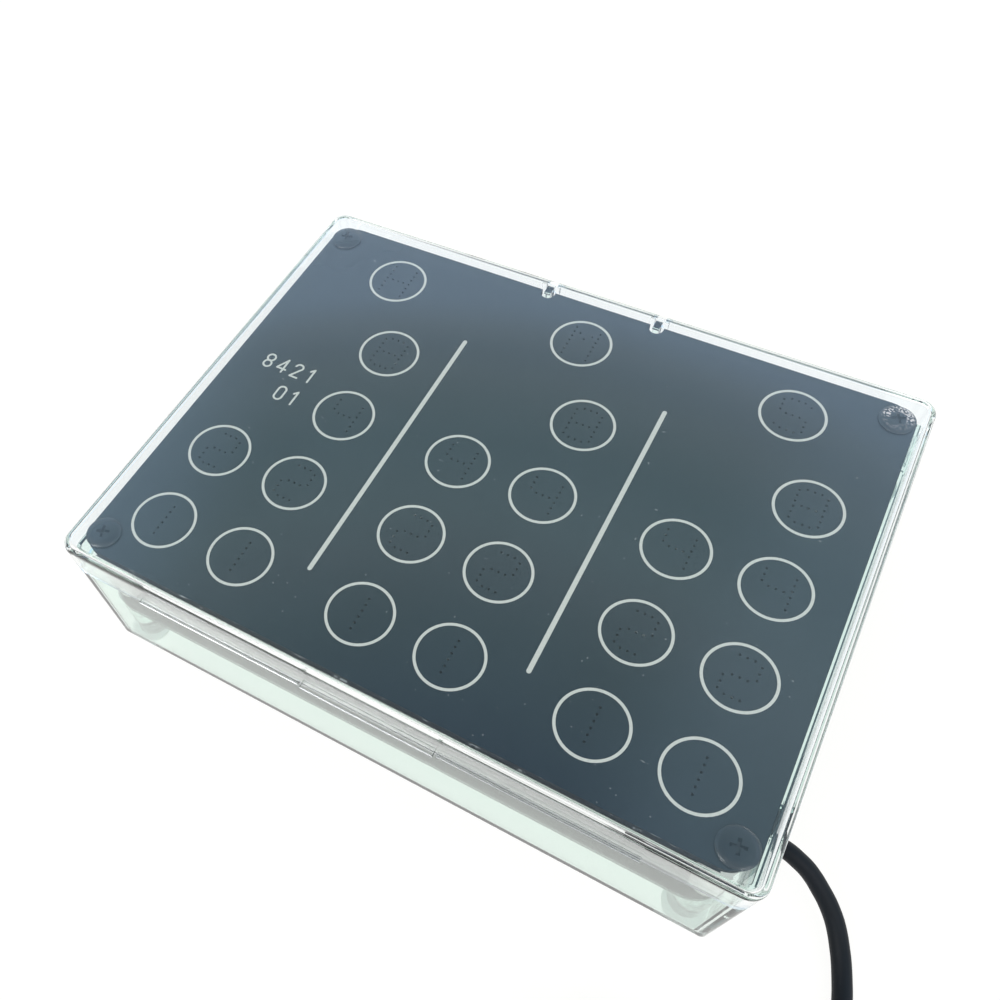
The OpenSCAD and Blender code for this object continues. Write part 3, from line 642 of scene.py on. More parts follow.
def corner_loop(w: float, d: float, r: float, z: float, steps: int = 12) -> list[Point]:
    """Points round a rectangle with round corners.

    Args:
        w: width along X.
        d: depth along Y.
        r: corner radius.
        z: height.
        steps: segments in each corner.

    Returns:
        The points, counterclockwise from above.
    """
    r = max(r, 0.02 * MM)
    points = []
    for sx, sy, start in ((1, 1, 0), (-1, 1, 90), (-1, -1, 180), (1, -1, 270)):
        for i in range(steps + 1):
            a = math.radians(start + 90 * i / steps)
            points.append(
                (
                    sx * (w / 2 - r) + r * math.cos(a),
                    sy * (d / 2 - r) + r * math.sin(a),
                    z,
                )
            )
    return points


def stack(loops: list[list[Point]], closed: bool = False) -> bmesh.types.BMesh:
    """Joins loops of equal length into a skin.

    Args:
        loops: the loops, in order.
        closed: whether the last joins the first; otherwise both ends get a face.

    Returns:
        The skin.
    """
    work = bmesh.new()
    rows = [[work.verts.new(p) for p in loop] for loop in loops]
    pairs = list(zip(rows, rows[1:])) + ([(rows[-1], rows[0])] if closed else [])
    for low, high in pairs:
        for i in range(len(low)):
            j = (i + 1) % len(low)
            work.faces.new((low[i], low[j], high[j], high[i]))
    if not closed:
        work.faces.new(rows[0][::-1])
        work.faces.new(rows[-1])
    return work


def box_mesh(low: Point, high: Point, soft: float = 0.0) -> bmesh.types.BMesh:
    """A box between two corners, with its edges rounded by soft, all in millimetres."""
    work = bmesh.new()
    first, last = (Vector([c * MM for c in corner]) for corner in (low, high))
    bmesh.ops.create_cube(
        work,
        size=1.0,
        matrix=Matrix.Translation((last + first) / 2) @ Matrix.Diagonal((*(last - first), 1.0)),
    )
    if soft > 0:
        bmesh.ops.bevel(
            work, geom=work.edges[:], offset=soft * MM, segments=2, profile=0.5, affect="EDGES"
        )
    return work


def turned(
    profile: list[tuple[float, float]],
    spot: Point = (0, 0, 0),
    axis: Point = (0, 0, 1),
    steps: int = 32,
) -> bmesh.types.BMesh:
    """Makes a turned solid, with every length in millimetres.

    Args:
        profile: (radius, height) pairs; a radius of 0 closes that end.
        spot: the foot of the axis.
        axis: its direction.
        steps: segments round it.

    Returns:
        The solid.
    """
    work = bmesh.new()
    foot = Vector([c * MM for c in spot])
    turn = Vector((0, 0, 1)).rotation_difference(Vector(axis)).to_matrix()
    rows = []
    for radius, height in profile:
        r, z = radius * MM, height * MM
        angles = [2 * math.pi * i / steps for i in range(steps if radius else 1)]
        points = [Vector((r * math.cos(a), r * math.sin(a), z)) for a in angles]
        rows.append([work.verts.new(foot + turn @ point) for point in points])
    for low, high in zip(rows, rows[1:]):
        for i in range(steps):
            j = (i + 1) % steps
            if len(low) == 1:
                work.faces.new((low[0], high[j], high[i]))
            elif len(high) == 1:
                work.faces.new((low[i], low[j], high[0]))
            else:
                work.faces.new((low[i], low[j], high[j], high[i]))
    for row in (rows[0][::-1], rows[-1]):
        if len(row) > 1:
            work.faces.new(row)
    return work


def arc(
    middle: tuple[float, float], radius: float, start: float, sweep: float, steps: int
) -> list[tuple[float, float]]:
    """Points on an arc, its ends included, with its angles in degrees."""
    angles = [math.radians(start + sweep * i / steps) for i in range(steps + 1)]
    return [(middle[0] + radius * math.cos(a), middle[1] + radius * math.sin(a)) for a in angles]


def drawn_out(section: list[tuple[float, float]], x: float, half: float) -> bmesh.types.BMesh:
    """A (y, z) section drawn out along X by half to each side of x, in millimetres."""
    ends = (x - half, x + half)
    return stack([[(end * MM, y * MM, z * MM) for y, z in section] for end in ends])


def combined(
    base: bpy.types.Mesh, tools: list[tuple[bmesh.types.BMesh, str]], name: str
) -> bpy.types.Mesh:
    """Cuts tools from a mesh, or joins them to it.

    Args:
        base: the mesh that is worked on.
        tools: closed solids, each with "DIFFERENCE" or "UNION".
        name: the result's name.

    Returns:
        The result, smooth, with sharp edges marked.
    """
    scene = bpy.context.scene
    work = bpy.data.objects.new(name + "_work", base)
    scene.collection.objects.link(work)
    helpers = []
    for index, (tool, operation) in enumerate(tools):
        mesh = bpy.data.meshes.new(f"{name}_tool{index}")
        bmesh.ops.recalc_face_normals(tool, faces=tool.faces)
        tool.to_mesh(mesh)
        tool.free()
        helper = bpy.data.objects.new(mesh.name, mesh)
        scene.collection.objects.link(helper)
        helpers.append(helper)
        step = work.modifiers.new(f"step{index}", "BOOLEAN")
        step.operation = operation
        step.object = helper
        step.solver = "EXACT"
    graph = bpy.context.evaluated_depsgraph_get()
    result = bpy.data.meshes.new_from_object(work.evaluated_get(graph), depsgraph=graph)
    result.name = name
    for helper in helpers:
        bpy.data.objects.remove(helper)
    bpy.data.objects.remove(work)
    result.materials.clear()
    return smoothed(result)


# ---------------------------------------------------------------- repeated pieces


class Repeater:
    """Puts one part at many places with Geometry Nodes and returns plain meshes."""

    def __init__(self, name: str, part: bpy.types.Mesh, finish: Finish) -> None:
        """Builds the node tree for one part.

        Args:
            name: the tree's name.
            part: the mesh that is repeated, round the origin.
            finish: its finish.
        """
        self.part = bpy.data.objects.new(name + "_part", part)
        bpy.context.scene.collection.objects.link(self.part)
        self.finish = finish
        self.tree = bpy.data.node_groups.new(name, "GeometryNodeTree")
        face = self.tree.interface
        face.new_socket("Places", in_out="INPUT", socket_type="NodeSocketGeometry")
        self.size = face.new_socket("Size", in_out="INPUT", socket_type="NodeSocketFloat")
        self.twist = face.new_socket("Twist", in_out="INPUT", socket_type="NodeSocketFloat")
        self.seed = face.new_socket("Seed", in_out="INPUT", socket_type="NodeSocketInt")
        face.new_socket("Result", in_out="OUTPUT", socket_type="NodeSocketGeometry")
        self._wire()

    def _wire(self) -> None:
        """Instances on points, a seeded twist about Z, then Realize Instances and Set Material."""
        nodes = self.tree.nodes
        source, sink = nodes.new("NodeGroupInput"), nodes.new("NodeGroupOutput")
        part = nodes.new("GeometryNodeObjectInfo")
        part.inputs["Object"].default_value = self.part
        points = nodes.new("GeometryNodeMeshToPoints")
        spin = nodes.new("FunctionNodeRandomValue")
        spin.data_type = "FLOAT"
        least = nodes.new("ShaderNodeMath")
        least.operation = "MULTIPLY"
        least.inputs[1].default_value = -1.0
        turn = nodes.new("ShaderNodeCombineXYZ")
        place = nodes.new("GeometryNodeInstanceOnPoints")
        real = nodes.new("GeometryNodeRealizeInstances")
        paint = nodes.new("GeometryNodeSetMaterial")
        paint.inputs["Material"].default_value = self.finish.material()
        spin_in = {s.name: s for s in spin.inputs if s.enabled}
        for start, end in (
            (source.outputs["Places"], points.inputs["Mesh"]),
            (source.outputs["Twist"], least.inputs[0]),
            (least.outputs[0], spin_in["Min"]),
            (source.outputs["Twist"], spin_in["Max"]),
            (source.outputs["Seed"], spin_in["Seed"]),
            (next(s for s in spin.outputs if s.enabled), turn.inputs["Z"]),
            (points.outputs["Points"], place.inputs["Points"]),
            (part.outputs["Geometry"], place.inputs["Instance"]),
            (turn.outputs[0], place.inputs["Rotation"]),
            (source.outputs["Size"], place.inputs["Scale"]),
            (place.outputs["Instances"], real.inputs["Geometry"]),
            (real.outputs["Geometry"], paint.inputs["Geometry"]),
            (paint.outputs["Geometry"], sink.inputs["Result"]),
        ):
            self.tree.links.new(start, end)

    def lay(
        self, name: str, spots: list[Point], body: str, twist: float = 0.0, seed: int = 7
    ) -> bpy.types.Object:
        """Repeats the part and makes one plain piece of it.

        Args:
            name: the piece's name.
            spots: where the copies go.
            body: the body that the piece rides on.
            twist: the most that a copy turns about Z, in radians.
            seed: what fixes the turns.

        Returns:
            The piece.
        """
        carrier_mesh = bpy.data.meshes.new(name + "_spots")
        carrier_mesh.from_pydata(spots, [], [])
        carrier = bpy.data.objects.new(name + "_spots", carrier_mesh)
        bpy.context.scene.collection.objects.link(carrier)
        step = carrier.modifiers.new("repeat", "NODES")
        step.node_group = self.tree
        step[self.size.identifier] = 1.0
        step[self.twist.identifier] = twist
        step[self.seed.identifier] = seed
        graph = bpy.context.evaluated_depsgraph_get()
        mesh = bpy.data.meshes.new_from_object(carrier.evaluated_get(graph), depsgraph=graph)
        mesh.name = name
        carrier.modifiers.remove(step)
        bpy.data.objects.remove(carrier)
        return new_piece(name, mesh, self.finish, body)

    def close(self) -> None:
        """Removes the pattern part."""
        bpy.data.objects.remove(self.part)


# ---------------------------------------------------------------- camera and studio


@dataclass
class Viewpoint:
    """The camera from which the photograph was taken, as it was worked out from the panel."""

    spot: Point = (0.04647, -0.10599, 0.20127)
    right: Point = (0.86688, 0.49284, -0.07506)
    up: Point = (-0.39344, 0.76881, 0.50412)
    lens: float = 32.15
    shift: tuple[float, float] = (0.1100, 0.0670)

    def build(self) -> bpy.types.Object:
        """Makes the camera and sets it as the scene's.

        Returns:
            The camera object.
        """
        data = bpy.data.cameras.new("camera")
        data.sensor_width = 36.0
        data.lens = self.lens
        data.shift_x, data.shift_y = self.shift
        data.clip_start = 0.005
        data.clip_end = 50.0
        made = bpy.data.objects.new("camera", data)
        right, up = Vector(self.right).normalized(), Vector(self.up)
        up = (up - right * up.dot(right)).normalized()
        turn = Matrix((right, up, right.cross(up))).transposed()
        made.matrix_world = Matrix.Translation(self.spot) @ turn.to_4x4()
        bpy.context.scene.collection.objects.link(made)
        bpy.context.scene.camera = made
        return made


@dataclass
class Studio:
    """Pale floor, white surroundings and soft lamps."""

    floor_colour: Colour = (0.86, 0.87, 0.87)
    floor_white: Colour = (1.0, 1.0, 0.985)
    floor_strength: float = 1.08
    floor_lift: float = 0.86
    floor_half: float = 6.0
    stray: Colour = (0.62, 0.63, 0.64)
    sky_tilt: float = 0.075
    window_left: tuple[float, float] = (0.46, 0.60)
    window_right: tuple[float, float] = (-0.05, 0.10)
    window_right_share: float = 0.3
    near_range: tuple[float, float] = (-0.1, 0.3)
    window: Colour = (0.76, 1.05, 1.32)
    near_side: Colour = (0.86, 0.90, 0.92)
    sky: tuple[tuple[float, Colour], ...] = (
        (0.0, (0.96, 0.97, 0.97)),
        (0.45, (0.92, 1.02, 1.10)),
        (0.60, (0.84, 1.10, 1.42)),
        (0.708, (0.81, 1.07, 1.38)),
        (0.728, (0.70, 0.89, 1.05)),
        (0.742, (0.60, 0.78, 0.92)),
        (0.760, (0.59, 0.77, 0.87)),
        (0.785, (0.51, 0.70, 0.78)),
        (0.805, (0.47, 0.67, 0.75)),
        (0.850, (0.53, 0.73, 0.80)),
        (0.875, (0.50, 0.66, 0.73)),
        (0.908, (0.38, 0.53, 0.59)),
        (0.935, (0.32, 0.45, 0.53)),
        (0.955, (0.26, 0.36, 0.46)),
        (1.0, (0.24, 0.33, 0.43)),
    )
    lamps: list[tuple[str, Point, Point, float, float]] = field(
        default_factory=lambda: [
            ("key", (-0.7, -1.1, 1.3), (0.0, 0.0, 0.0), 0.9, 9.0),
            ("fill", (1.2, -0.7, 1.0), (0.0, 0.0, 0.0), 0.9, 5.0),
            ("back", (0.5, 1.6, 0.45), (0.0, 0.0, 0.0), 0.6, 3.0),
        ]
    )

    def build(self) -> None:
        """Makes the floor, the world and the lamps."""
        self._floor()
        self._world()
        for name, spot, aim, size, power in self.lamps:
            data = bpy.data.lights.new(name, "AREA")
            data.shape = "SQUARE"
            data.size = size
            data.energy = power
            made = bpy.data.objects.new(name, data)
            turn = (Vector(spot) - Vector(aim)).to_track_quat("Z", "Y")
            made.matrix_world = Matrix.Translation(spot) @ turn.to_matrix().to_4x4()
            bpy.context.scene.collection.objects.link(made)

    def _floor(self) -> None:
        """A matt floor that shows the object's shadow and otherwise renders white."""
        work = bmesh.new()
        bmesh.ops.create_grid(work, x_segments=1, y_segments=1, size=self.floor_half)
        mesh = bpy.data.meshes.new("floor")
        work.to_mesh(mesh)
        work.free()
        material = bpy.data.materials.new("floor_white")
        recipe = Recipe(material)
        matt = recipe.principled(
            Base_Color=self.floor_colour, Roughness=0.9, Specular_IOR_Level=0.1
        )
        seen = (
            recipe.ray("Is Camera Ray")
            .most(recipe.ray("Is Glossy Ray"))
            .most(recipe.ray("Is Transmission Ray"))
        )
        white = recipe.node(
            "ShaderNodeEmission", None, Color=self.floor_white, Strength=self.floor_strength
        )
        recipe.finish(
            recipe.node("ShaderNodeMixShader", None, seen * self.floor_lift, matt, white)
        )
        mesh.materials.append(material)
        made = bpy.data.objects.new("floor", mesh)
        bpy.context.scene.collection.objects.link(made)

    def _world(self) -> None:
        """White to the camera, and a room that darkens overhead for light and gloss."""
        world = bpy.data.worlds.new("studio")
        bpy.context.scene.world = world
        recipe = Recipe(world)
        made = recipe.tree.nodes.new("ShaderNodeTexCoord")
        split = recipe.tree.nodes.new("ShaderNodeSeparateXYZ")
        recipe.tree.links.new(made.outputs["Generated"], split.inputs[0])
        x, y, z = (Wire(recipe, split.outputs[axis]) for axis in "XYZ")
        height = z - x * self.sky_tilt
        sky = recipe.node("ShaderNodeValToRGB", {"stops": list(self.sky)}, height)
        sky = recipe.mixed((0 - x).eased(*self.window_left), sky, self.window)
        right = x.eased(*self.window_right) * self.window_right_share
        sky = recipe.mixed(right, sky, self.window)
        room = recipe.mixed((0 - y).eased(*self.near_range), sky, self.near_side)
        stray = recipe.mixed(recipe.ray("Is Diffuse Ray"), room, self.stray)
        colour = recipe.mixed(recipe.ray("Is Camera Ray"), stray, (1.0, 1.0, 1.0))
        recipe.finish(recipe.node("ShaderNodeBackground", None, colour, 1.0))


# ---------------------------------------------------------------- cable


@dataclass
class Cable:
    """The power lead: its free stretches and its coil up to the plug, along the CAD's own points.
    """

    diameter: float = 3.8 * MM
    turns: float = 6.25
    pitch: float = 4.4
    mean_r: float = 22.3
    middle: tuple[float, float] = (78.0, -109.0)
    low_z: float = 2.55
    run: float = 3.8
    steps: int = 48

    @property
    def outer_r(self) -> float:
        """The coil's outer radius, in millimetres."""
        return self.mean_r + self.pitch * self.turns / 4

    def _lead(self) -> list[Point]:
        """The free stretch from the case to the coil, in millimetres."""
        x = self.middle[0] + self.outer_r
        return [
            (76.4, -36.8, 11.4), (80.6, -36.8, 11.4), (83.6, -37, 11), (85.8, -37.4, 10.3),
            (88, -37.9, 9.4), (90.1, -38.7, 8.25), (92.1, -39.8, 7.1), (94, -41, 6.1),
            (95.6, -42.3, 5.2), (97, -43.7, 4.4), (98.3, -45.4, 3.6), (99.5, -47.4, 2.9),
            (100.7, -49.8, 2.35), (101.9, -53, 1.95), (102.9, -56.5, 1.9), (104.3, -63, 1.9),
            (105.6, -71, 1.9), (106.6, -80, 1.9), (107.2, -89, 2.05), (x, -99, self.low_z),
            (x, self.middle[1] + self.run, self.low_z),
        ]

    def _coil(self) -> list[Point]:
        """The coil: inwards on the lower layer, up, and outwards again, in millimetres."""
        points = []
        half = self.turns / 2
        for i in range(int(self.turns * self.steps) + 1):
            t = i / self.steps
            r = self.outer_r - self.pitch * min(t, self.turns - t)
            climb = min(1.0, max(0.0, (t - half + 0.25) / 0.5))
            a = 2 * math.pi * t
            points.append(
                (
                    self.middle[0] + r * math.cos(a),
                    self.middle[1] - r * math.sin(a),
                    self.low_z + self.pitch * climb,
                )
            )
        return points

    def _tail(self) -> list[Point]:
        """The free stretch from the coil to the plug, in millimetres."""
        y, z = self.middle[1] - self.outer_r, self.low_z + self.pitch
        return [
            (self.middle[0] - self.run, y, z), (70, y, z), (66.5, y + 0.1, 6.7),
            (62.5, -138.1, 6.2), (58.5, -137.4, 5.4), (53.5, -136.8, 4.6),
            (48.5, -136.4, 4), (44, -136.4, 4),
        ]

    @staticmethod
    def _rounded(points: list[Point], steps: int = 4) -> list[Vector]:
        """A Catmull-Rom curve through given points.

        Args:
            points: the points.
            steps: pieces between two of them.

        Returns:
            The denser points.
        """
        p = [Vector(q) for q in points]
        p = [p[0] * 2 - p[1]] + p + [p[-1] * 2 - p[-2]]
        out = []
        for a, b, c, d in zip(p, p[1:], p[2:], p[3:]):
            for i in range(steps):
                t = i / steps
                out.append(
                    0.5
                    * (
                        2 * b
                        + (c - a) * t
                        + (2 * a - 5 * b + 4 * c - d) * t**2
                        + (3 * b - a - 3 * c + d) * t**3
                    )
                )
        return out + [p[-2]]

    def build(self) -> bpy.types.Object:
        """Returns:
            The cable.
        """
        route = [*self._rounded(self._lead()), *map(Vector, self._coil())]
        route += self._rounded(self._tail())
        route = [p * MM for p in route]
        data = bpy.data.curves.new("power_cable", "CURVE")
        data.dimensions = "3D"
        data.bevel_depth = self.diameter / 2
        data.bevel_resolution = 6
        data.use_fill_caps = True
        line = data.splines.new("POLY")
        line.points.add(len(route) - 1)
        for point, place in zip(line.points, route):
            point.co = (*place, 1.0)
        line.use_smooth = True
        data.materials.append(SHEATH.material())
        made = bpy.data.objects.new("power_cable", data)
        bpy.context.scene.collection.objects.link(made)
        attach(made, "case")
        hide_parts("cable_lead", "cable_coil", "cable_tail")
        length = sum((b - a).length for a, b in zip(route, route[1:]))
        LOG.info("cable length %.4f m", length)
        return made


# ---------------------------------------------------------------- case


@dataclass
class CaseSizes:
    """The case's sizes in millimetres, as the CAD has them.

    w, d and r are the lid's outline and its corner radius; edge rounds its upper edge.
    """

    w: float = 154.0
    d: float = 118.6
    r: float = 3.8
    edge: float = 2.0
    top: float = 44.0
    lid_wall: float = 1.4
    lid_top: float = 1.2
    skirt: float = 34.1
    hinge_y: float = 57.4
    hinge_z: float = 35.9
    hinge_x: float = 14.0

    def loop(self, inset: float, r: float, z: float) -> list[Point]:
        """The case's outline from above, set in, with its corner radius and height."""
        return corner_loop(
            (self.w - 2 * inset) * MM, (self.d - 2 * inset) * MM, r * MM, z * MM
        )

    def hinge_bore(self, x: float, r: float, half: float) -> bmesh.types.BMesh:
        """What bores a hole along the hinge's axis, by half to each side of x."""
        spot = (x - half, self.hinge_y, self.hinge_z)
        return turned([(r, 0.0), (r, 2 * half)], spot, (1, 0, 0))


@dataclass
class Lid:
    """The clear hinged lid."""

    s: CaseSizes = field(default_factory=CaseSizes)
    bevel: float = 0.12
    lip: tuple[Point, Point] = ((-15.3, -60.2, 34.1), (15.3, -59.2, 35.3))
    ridge: tuple[Point, Point] = ((15.9, -59.8, 34.3), (57.0, -59.2, 35.1))
    grip_soft: float = 0.15
    slot_half: float = 1.1
    slot: tuple[tuple[float, float], tuple[float, float]] = ((55.9, 33.0), (60.5, 40.2))
    bore_r: float = 0.7
    bore_half: float = 4.0
    ear_at: float = 1.7
    ear_half: float = 0.6
    ear_r: float = 1.5
    ear_back: float = 58.6
    ear_top: float = 43.4
    ear_front: float = 0.4

    @staticmethod
    def _fillet(inset: float, top: float, r: float, steps: int) -> list[tuple[float, float]]:
        """(inset, height) over a rounded edge that starts at an inset and ends at the top."""
        angles = [math.radians(90 * i / steps) for i in range(steps + 1)]
        return [(inset + r * (1 - math.cos(a)), top - r * (1 - math.sin(a))) for a in angles]

    def _outer(self) -> list[tuple[float, float]]:
        """(inset from the outer wall, height) up the outside, in millimetres."""
        s = self.s
        foot = [(self.bevel, s.skirt), (0.0, s.skirt + self.bevel)]
        return foot + self._fillet(0.0, s.top, s.edge, 10)

    def _inner(self) -> list[tuple[float, float]]:
        """The same up the inside of the wall, to the top plate."""
        s = self.s
        foot = [(s.lid_wall - self.bevel, s.skirt), (s.lid_wall, s.skirt + self.bevel)]
        return foot + self._fillet(s.lid_wall, s.top - s.lid_top, s.edge - s.lid_wall, 5)

    def build(self) -> bpy.types.Object:
        """Makes the lid's shell, ears, slots and grips.

        Returns:
            The lid.
        """
        s = self.s
        outer = [s.loop(inset, s.r - inset, z) for inset, z in self._outer()]
        inner = [s.loop(inset, s.r - inset, z) for inset, z in self._inner()]
        shell = mesh_from(stack(inner[::-1] + outer), "lid_shell")
        hinges = (-s.hinge_x, s.hinge_x)
        tools = [
            (self._ear(x + side * self.ear_at), "UNION") for x in hinges for side in (-1, 1)
        ]
        tools.append((box_mesh(*self.lip, self.grip_soft), "UNION"))
        (x0, y0, z0), (x1, y1, z1) = self.ridge
        for low, high in ((-x1, -x0), (x0, x1)):
            bar = box_mesh((low, y0, z0), (high, y1, z1), self.grip_soft)
            tools.append((bar, "UNION"))
        (y0, z0), (y1, z1) = self.slot
        for x in hinges:
            gap = box_mesh((x - self.slot_half, y0, z0), (x + self.slot_half, y1, z1))
            tools.append((gap, "DIFFERENCE"))
            tools.append((s.hinge_bore(x, self.bore_r, self.bore_half), "DIFFERENCE"))
        mesh = combined(shell, tools, "clear_lid_shell")
        made = new_piece("clear_lid_shell", mesh, CLEAR_LID, "lid")
        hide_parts("lid")
        return made

    def _ear(self, x: float) -> bmesh.types.BMesh:
        """One hinge ear: a knuckle with a web up to the top plate."""
        y, z, r = self.s.hinge_y, self.s.hinge_z, self.ear_r
        back, top, front = self.ear_back, self.ear_top, y - self.ear_front
        section = arc((y, z), r, 180, 90, 8)
        section += [(back, z - r), (back, top), (front, top), (front, z + r - 0.05)]
        section += arc((y, z), r, 110, 70, 6)[:-1]
        return drawn_out(section, x, self.ear_half)


@dataclass
class Tray:
    """The clear base with its neck, bosses, lugs and wall holes."""

    s: CaseSizes = field(default_factory=CaseSizes)
    foot_h: float = 1.6
    floor: float = 3.1
    wall: float = 1.6
    step: float = 0.6
    shoulder: float = 33.8
    neck_top: float = 39.6
    edge: float = 0.7
    corner: float = 1.7
    hollow_corner: float = 1.6
    bevel: float = 0.12
    soft: float = 0.15
    neck_gap: float = 0.3
    neck_wall: float = 1.0
    root: float = 30.8
    floor_fillet: float = 0.5
    bosses: tuple[float, float] = (70.0, 51.7)
    boss: tuple[tuple[float, float], ...] = ((4.3, 2.9), (4.0, 3.5), (4.0, 19.0))
    boss_bore: tuple[tuple[float, float], ...] = ((1.55, 10.0), (1.55, 20.0))
    relief: tuple[Point, Point] = ((-90.0, 54.48, 32.98), (90.0, 70.0, 50.0))
    cut: float = 4.0
    button_r: float = 2.75
    button_x: tuple[float, float] = (-42.0, -26.0)
    button_at: tuple[float, float] = (56.0, 15.1)
    exit_r: float = 3.75
    exit_at: Point = (74.0, -36.8, 11.4)
    pin_r: float = 0.62
    pin_half: float = 2.0
    lug_r: float = 1.4
    lug_half: float = 0.8

    def _section(self) -> list[tuple[float, float, float]]:
        """(inset from the lid's outer wall, corner radius, height) round the tray's section."""
        s = self.s
        st, w = self.step, self.wall
        bottom = []
        for i in range(7):
            a = math.radians(90 * i / 6)
            inward = self.edge * (1 - math.sin(a))
            height = self.foot_h + self.edge * (1 - math.cos(a))
            bottom.append((st + inward, self.corner - inward, height))
        neck_out = s.lid_wall + self.neck_gap
        neck_in = neck_out + self.neck_wall
        r_out = s.r - s.lid_wall
        r_in, r_low = r_out - self.neck_wall, self.hollow_corner
        b, soft, fillet = self.bevel, self.soft, self.floor_fillet
        inside = st + w
        rise = [
            (st, self.corner, self.shoulder - soft),
            (st + soft, self.corner - soft, self.shoulder),
            (neck_out, r_out, self.shoulder),
            (neck_out, r_out, self.neck_top - b),
            (neck_out + b, r_out - b, self.neck_top),
            (neck_in - b, r_in + b, self.neck_top),
            (neck_in, r_in, self.neck_top - b),
            (neck_in, r_in, self.root),
            (inside, r_low, self.root),
            (inside, r_low, self.floor + fillet),
            (inside + soft, r_low - soft, self.floor + soft),
            (inside + fillet, r_low - fillet, self.floor),
        ]
        return bottom + rise

    def build(self) -> bpy.types.Object:
        """Makes the tray.

        Returns:
            The tray.
        """
        s = self.s
        loops = [s.loop(inset, r, z) for inset, r, z in self._section()]
        shell = mesh_from(stack(loops), "tray_shell")
        tools = []
        for sx in (-1, 1):
            for sy in (-1, 1):
                spot = (sx * self.bosses[0], sy * self.bosses[1], 0.0)
                tools.append((turned(list(self.boss), spot), "UNION"))
                tools.append((turned(list(self.boss_bore), spot), "DIFFERENCE"))
        tools.append((box_mesh(*self.relief), "DIFFERENCE"))
        for x in self.button_x:
            bore = [(self.button_r, 0.0), (self.button_r, self.cut)]
            tools.append((turned(bore, (x, *self.button_at), (0, 1, 0)), "DIFFERENCE"))
        bore = [(self.exit_r, 0.0), (self.exit_r, self.cut)]
        tools.append((turned(bore, self.exit_at, (1, 0, 0)), "DIFFERENCE"))
        for x in (-s.hinge_x, s.hinge_x):
            tools.append((self._lug(x), "UNION"))
            tools.append((s.hinge_bore(x, self.pin_r, self.pin_half), "DIFFERENCE"))
        mesh = combined(shell, tools, "clear_tray_shell")
        made = new_piece("clear_tray_shell", mesh, CLEAR_TRAY, "case")
        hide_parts("base_tray")
        return made

    def _lug(self, x: float) -> bmesh.types.BMesh:
        """A hinge lug: the knuckle behind, and the post that stands in the panel's notch."""
        y, z = self.s.hinge_y, self.s.hinge_z
        knuckle = arc((y, z), self.lug_r, 0, 80, 6)
        section = [
            (54.6, 24.98), (57.4, 24.98), (57.4, 31.98), (58.7, 31.98), (58.7, z - 0.1),
            *knuckle, (57.6, z + 1.45), (57.6, 42.0), (57.4, 42.2), (54.8, 42.2), (54.6, 42.0),
        ]
        return drawn_out(section, x, self.lug_half)


# ---------------------------------------------------------------- the rest of the clock


class Digit(Enum):
    """What a ring shows."""

    ONE = 1
    TWO = 2
    FOUR = 4
    EIGHT = 8
    LETTER = 10


@dataclass
class RingGrid:
    """Where the rings are, in millimetres."""

    group: float = 50.0
    column: float = 20.4
    row: float = 21.3
    first: float = -42.8
    letters: float = 43.6

    def spots(self) -> list[tuple[float, float, Digit]]:
        """Each ring's place and what it shows."""
        heights = {Digit.ONE: 0, Digit.TWO: 1, Digit.FOUR: 2, Digit.EIGHT: 3}
        out = []
        for g in (-1, 0, 1):
            tens = [Digit.ONE, Digit.TWO] + ([] if g == -1 else [Digit.FOUR])
            for side, shown in ((-1, tens), (1, list(heights))):
                for digit in shown:
                    x = g * self.group + side * self.column / 2
                    out.append((x, self.first + self.row * heights[digit], digit))
            out.append((g * self.group, self.letters, Digit.LETTER))
        return out


@dataclass
class Panel:
    """The dark panel, its print and its screws."""

    face: float = 41.6
    screws: tuple[float, float] = (70.0, 51.7)
    screw_twist: float = 0.5
    screw_seed: int = 3
    head: tuple[tuple[float, float], ...] = (
        (0.0, -8.45), (1.2, -8.45), (1.5, -8.1), (1.5, 0.0), (3.75, 0.0), (3.9, 0.12),
        (3.9, 0.38), (3.72, 0.56), (3.3, 0.74), (2.7, 0.88), (2.0, 0.96), (1.0, 0.995),
        (0.0, 1.0),
    )
    cross: tuple[Point, Point] = ((1.4, 1.85, 0.42), (0.25, 1.0, 0.24))

    def build(self) -> None:
        """Dresses the CAD's panel and makes the screws."""
        dress(PANEL, "front_panel")
        dress(PRINT, "panel_print")
        part = self._screw()
        for finish, name, spots in (
            (BLACK_SCREW, "panel_screws_black", [(-1, -1), (1, -1), (-1, 1)]),
            # The back-right screw has painted glints on its head.
            (GLINTING_SCREW, "panel_screw_worn", [(1, 1)]),
        ):
            maker = Repeater(name + "_tree", part.copy(), finish)
            places = [
                (sx * self.screws[0] * MM, sy * self.screws[1] * MM, self.face * MM)
                for sx, sy in spots
            ]
            made = maker.lay(name, places, "case", self.screw_twist, self.screw_seed)
            maker.close()
            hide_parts("panel_screws")

    def _screw(self) -> bpy.types.Mesh:
        """A low pan-head screw with a cross recess, its head's underside at the origin."""
        head = mesh_from(turned(list(self.head), steps=48), "screw_head")
        tools = []
        for angle in (0.0, math.pi / 2):
            turn = Matrix.Rotation(angle, 3, "Z")
            rows = []
            for z, x, y in self.cross:
                corners = ((-x, -y), (x, -y), (x, y), (-x, y))
                rows.append([tuple(turn @ Vector((a * MM, b * MM, z * MM))) for a, b in corners])
            tools.append((stack(rows), "DIFFERENCE"))
        return combined(head, tools, "screw")


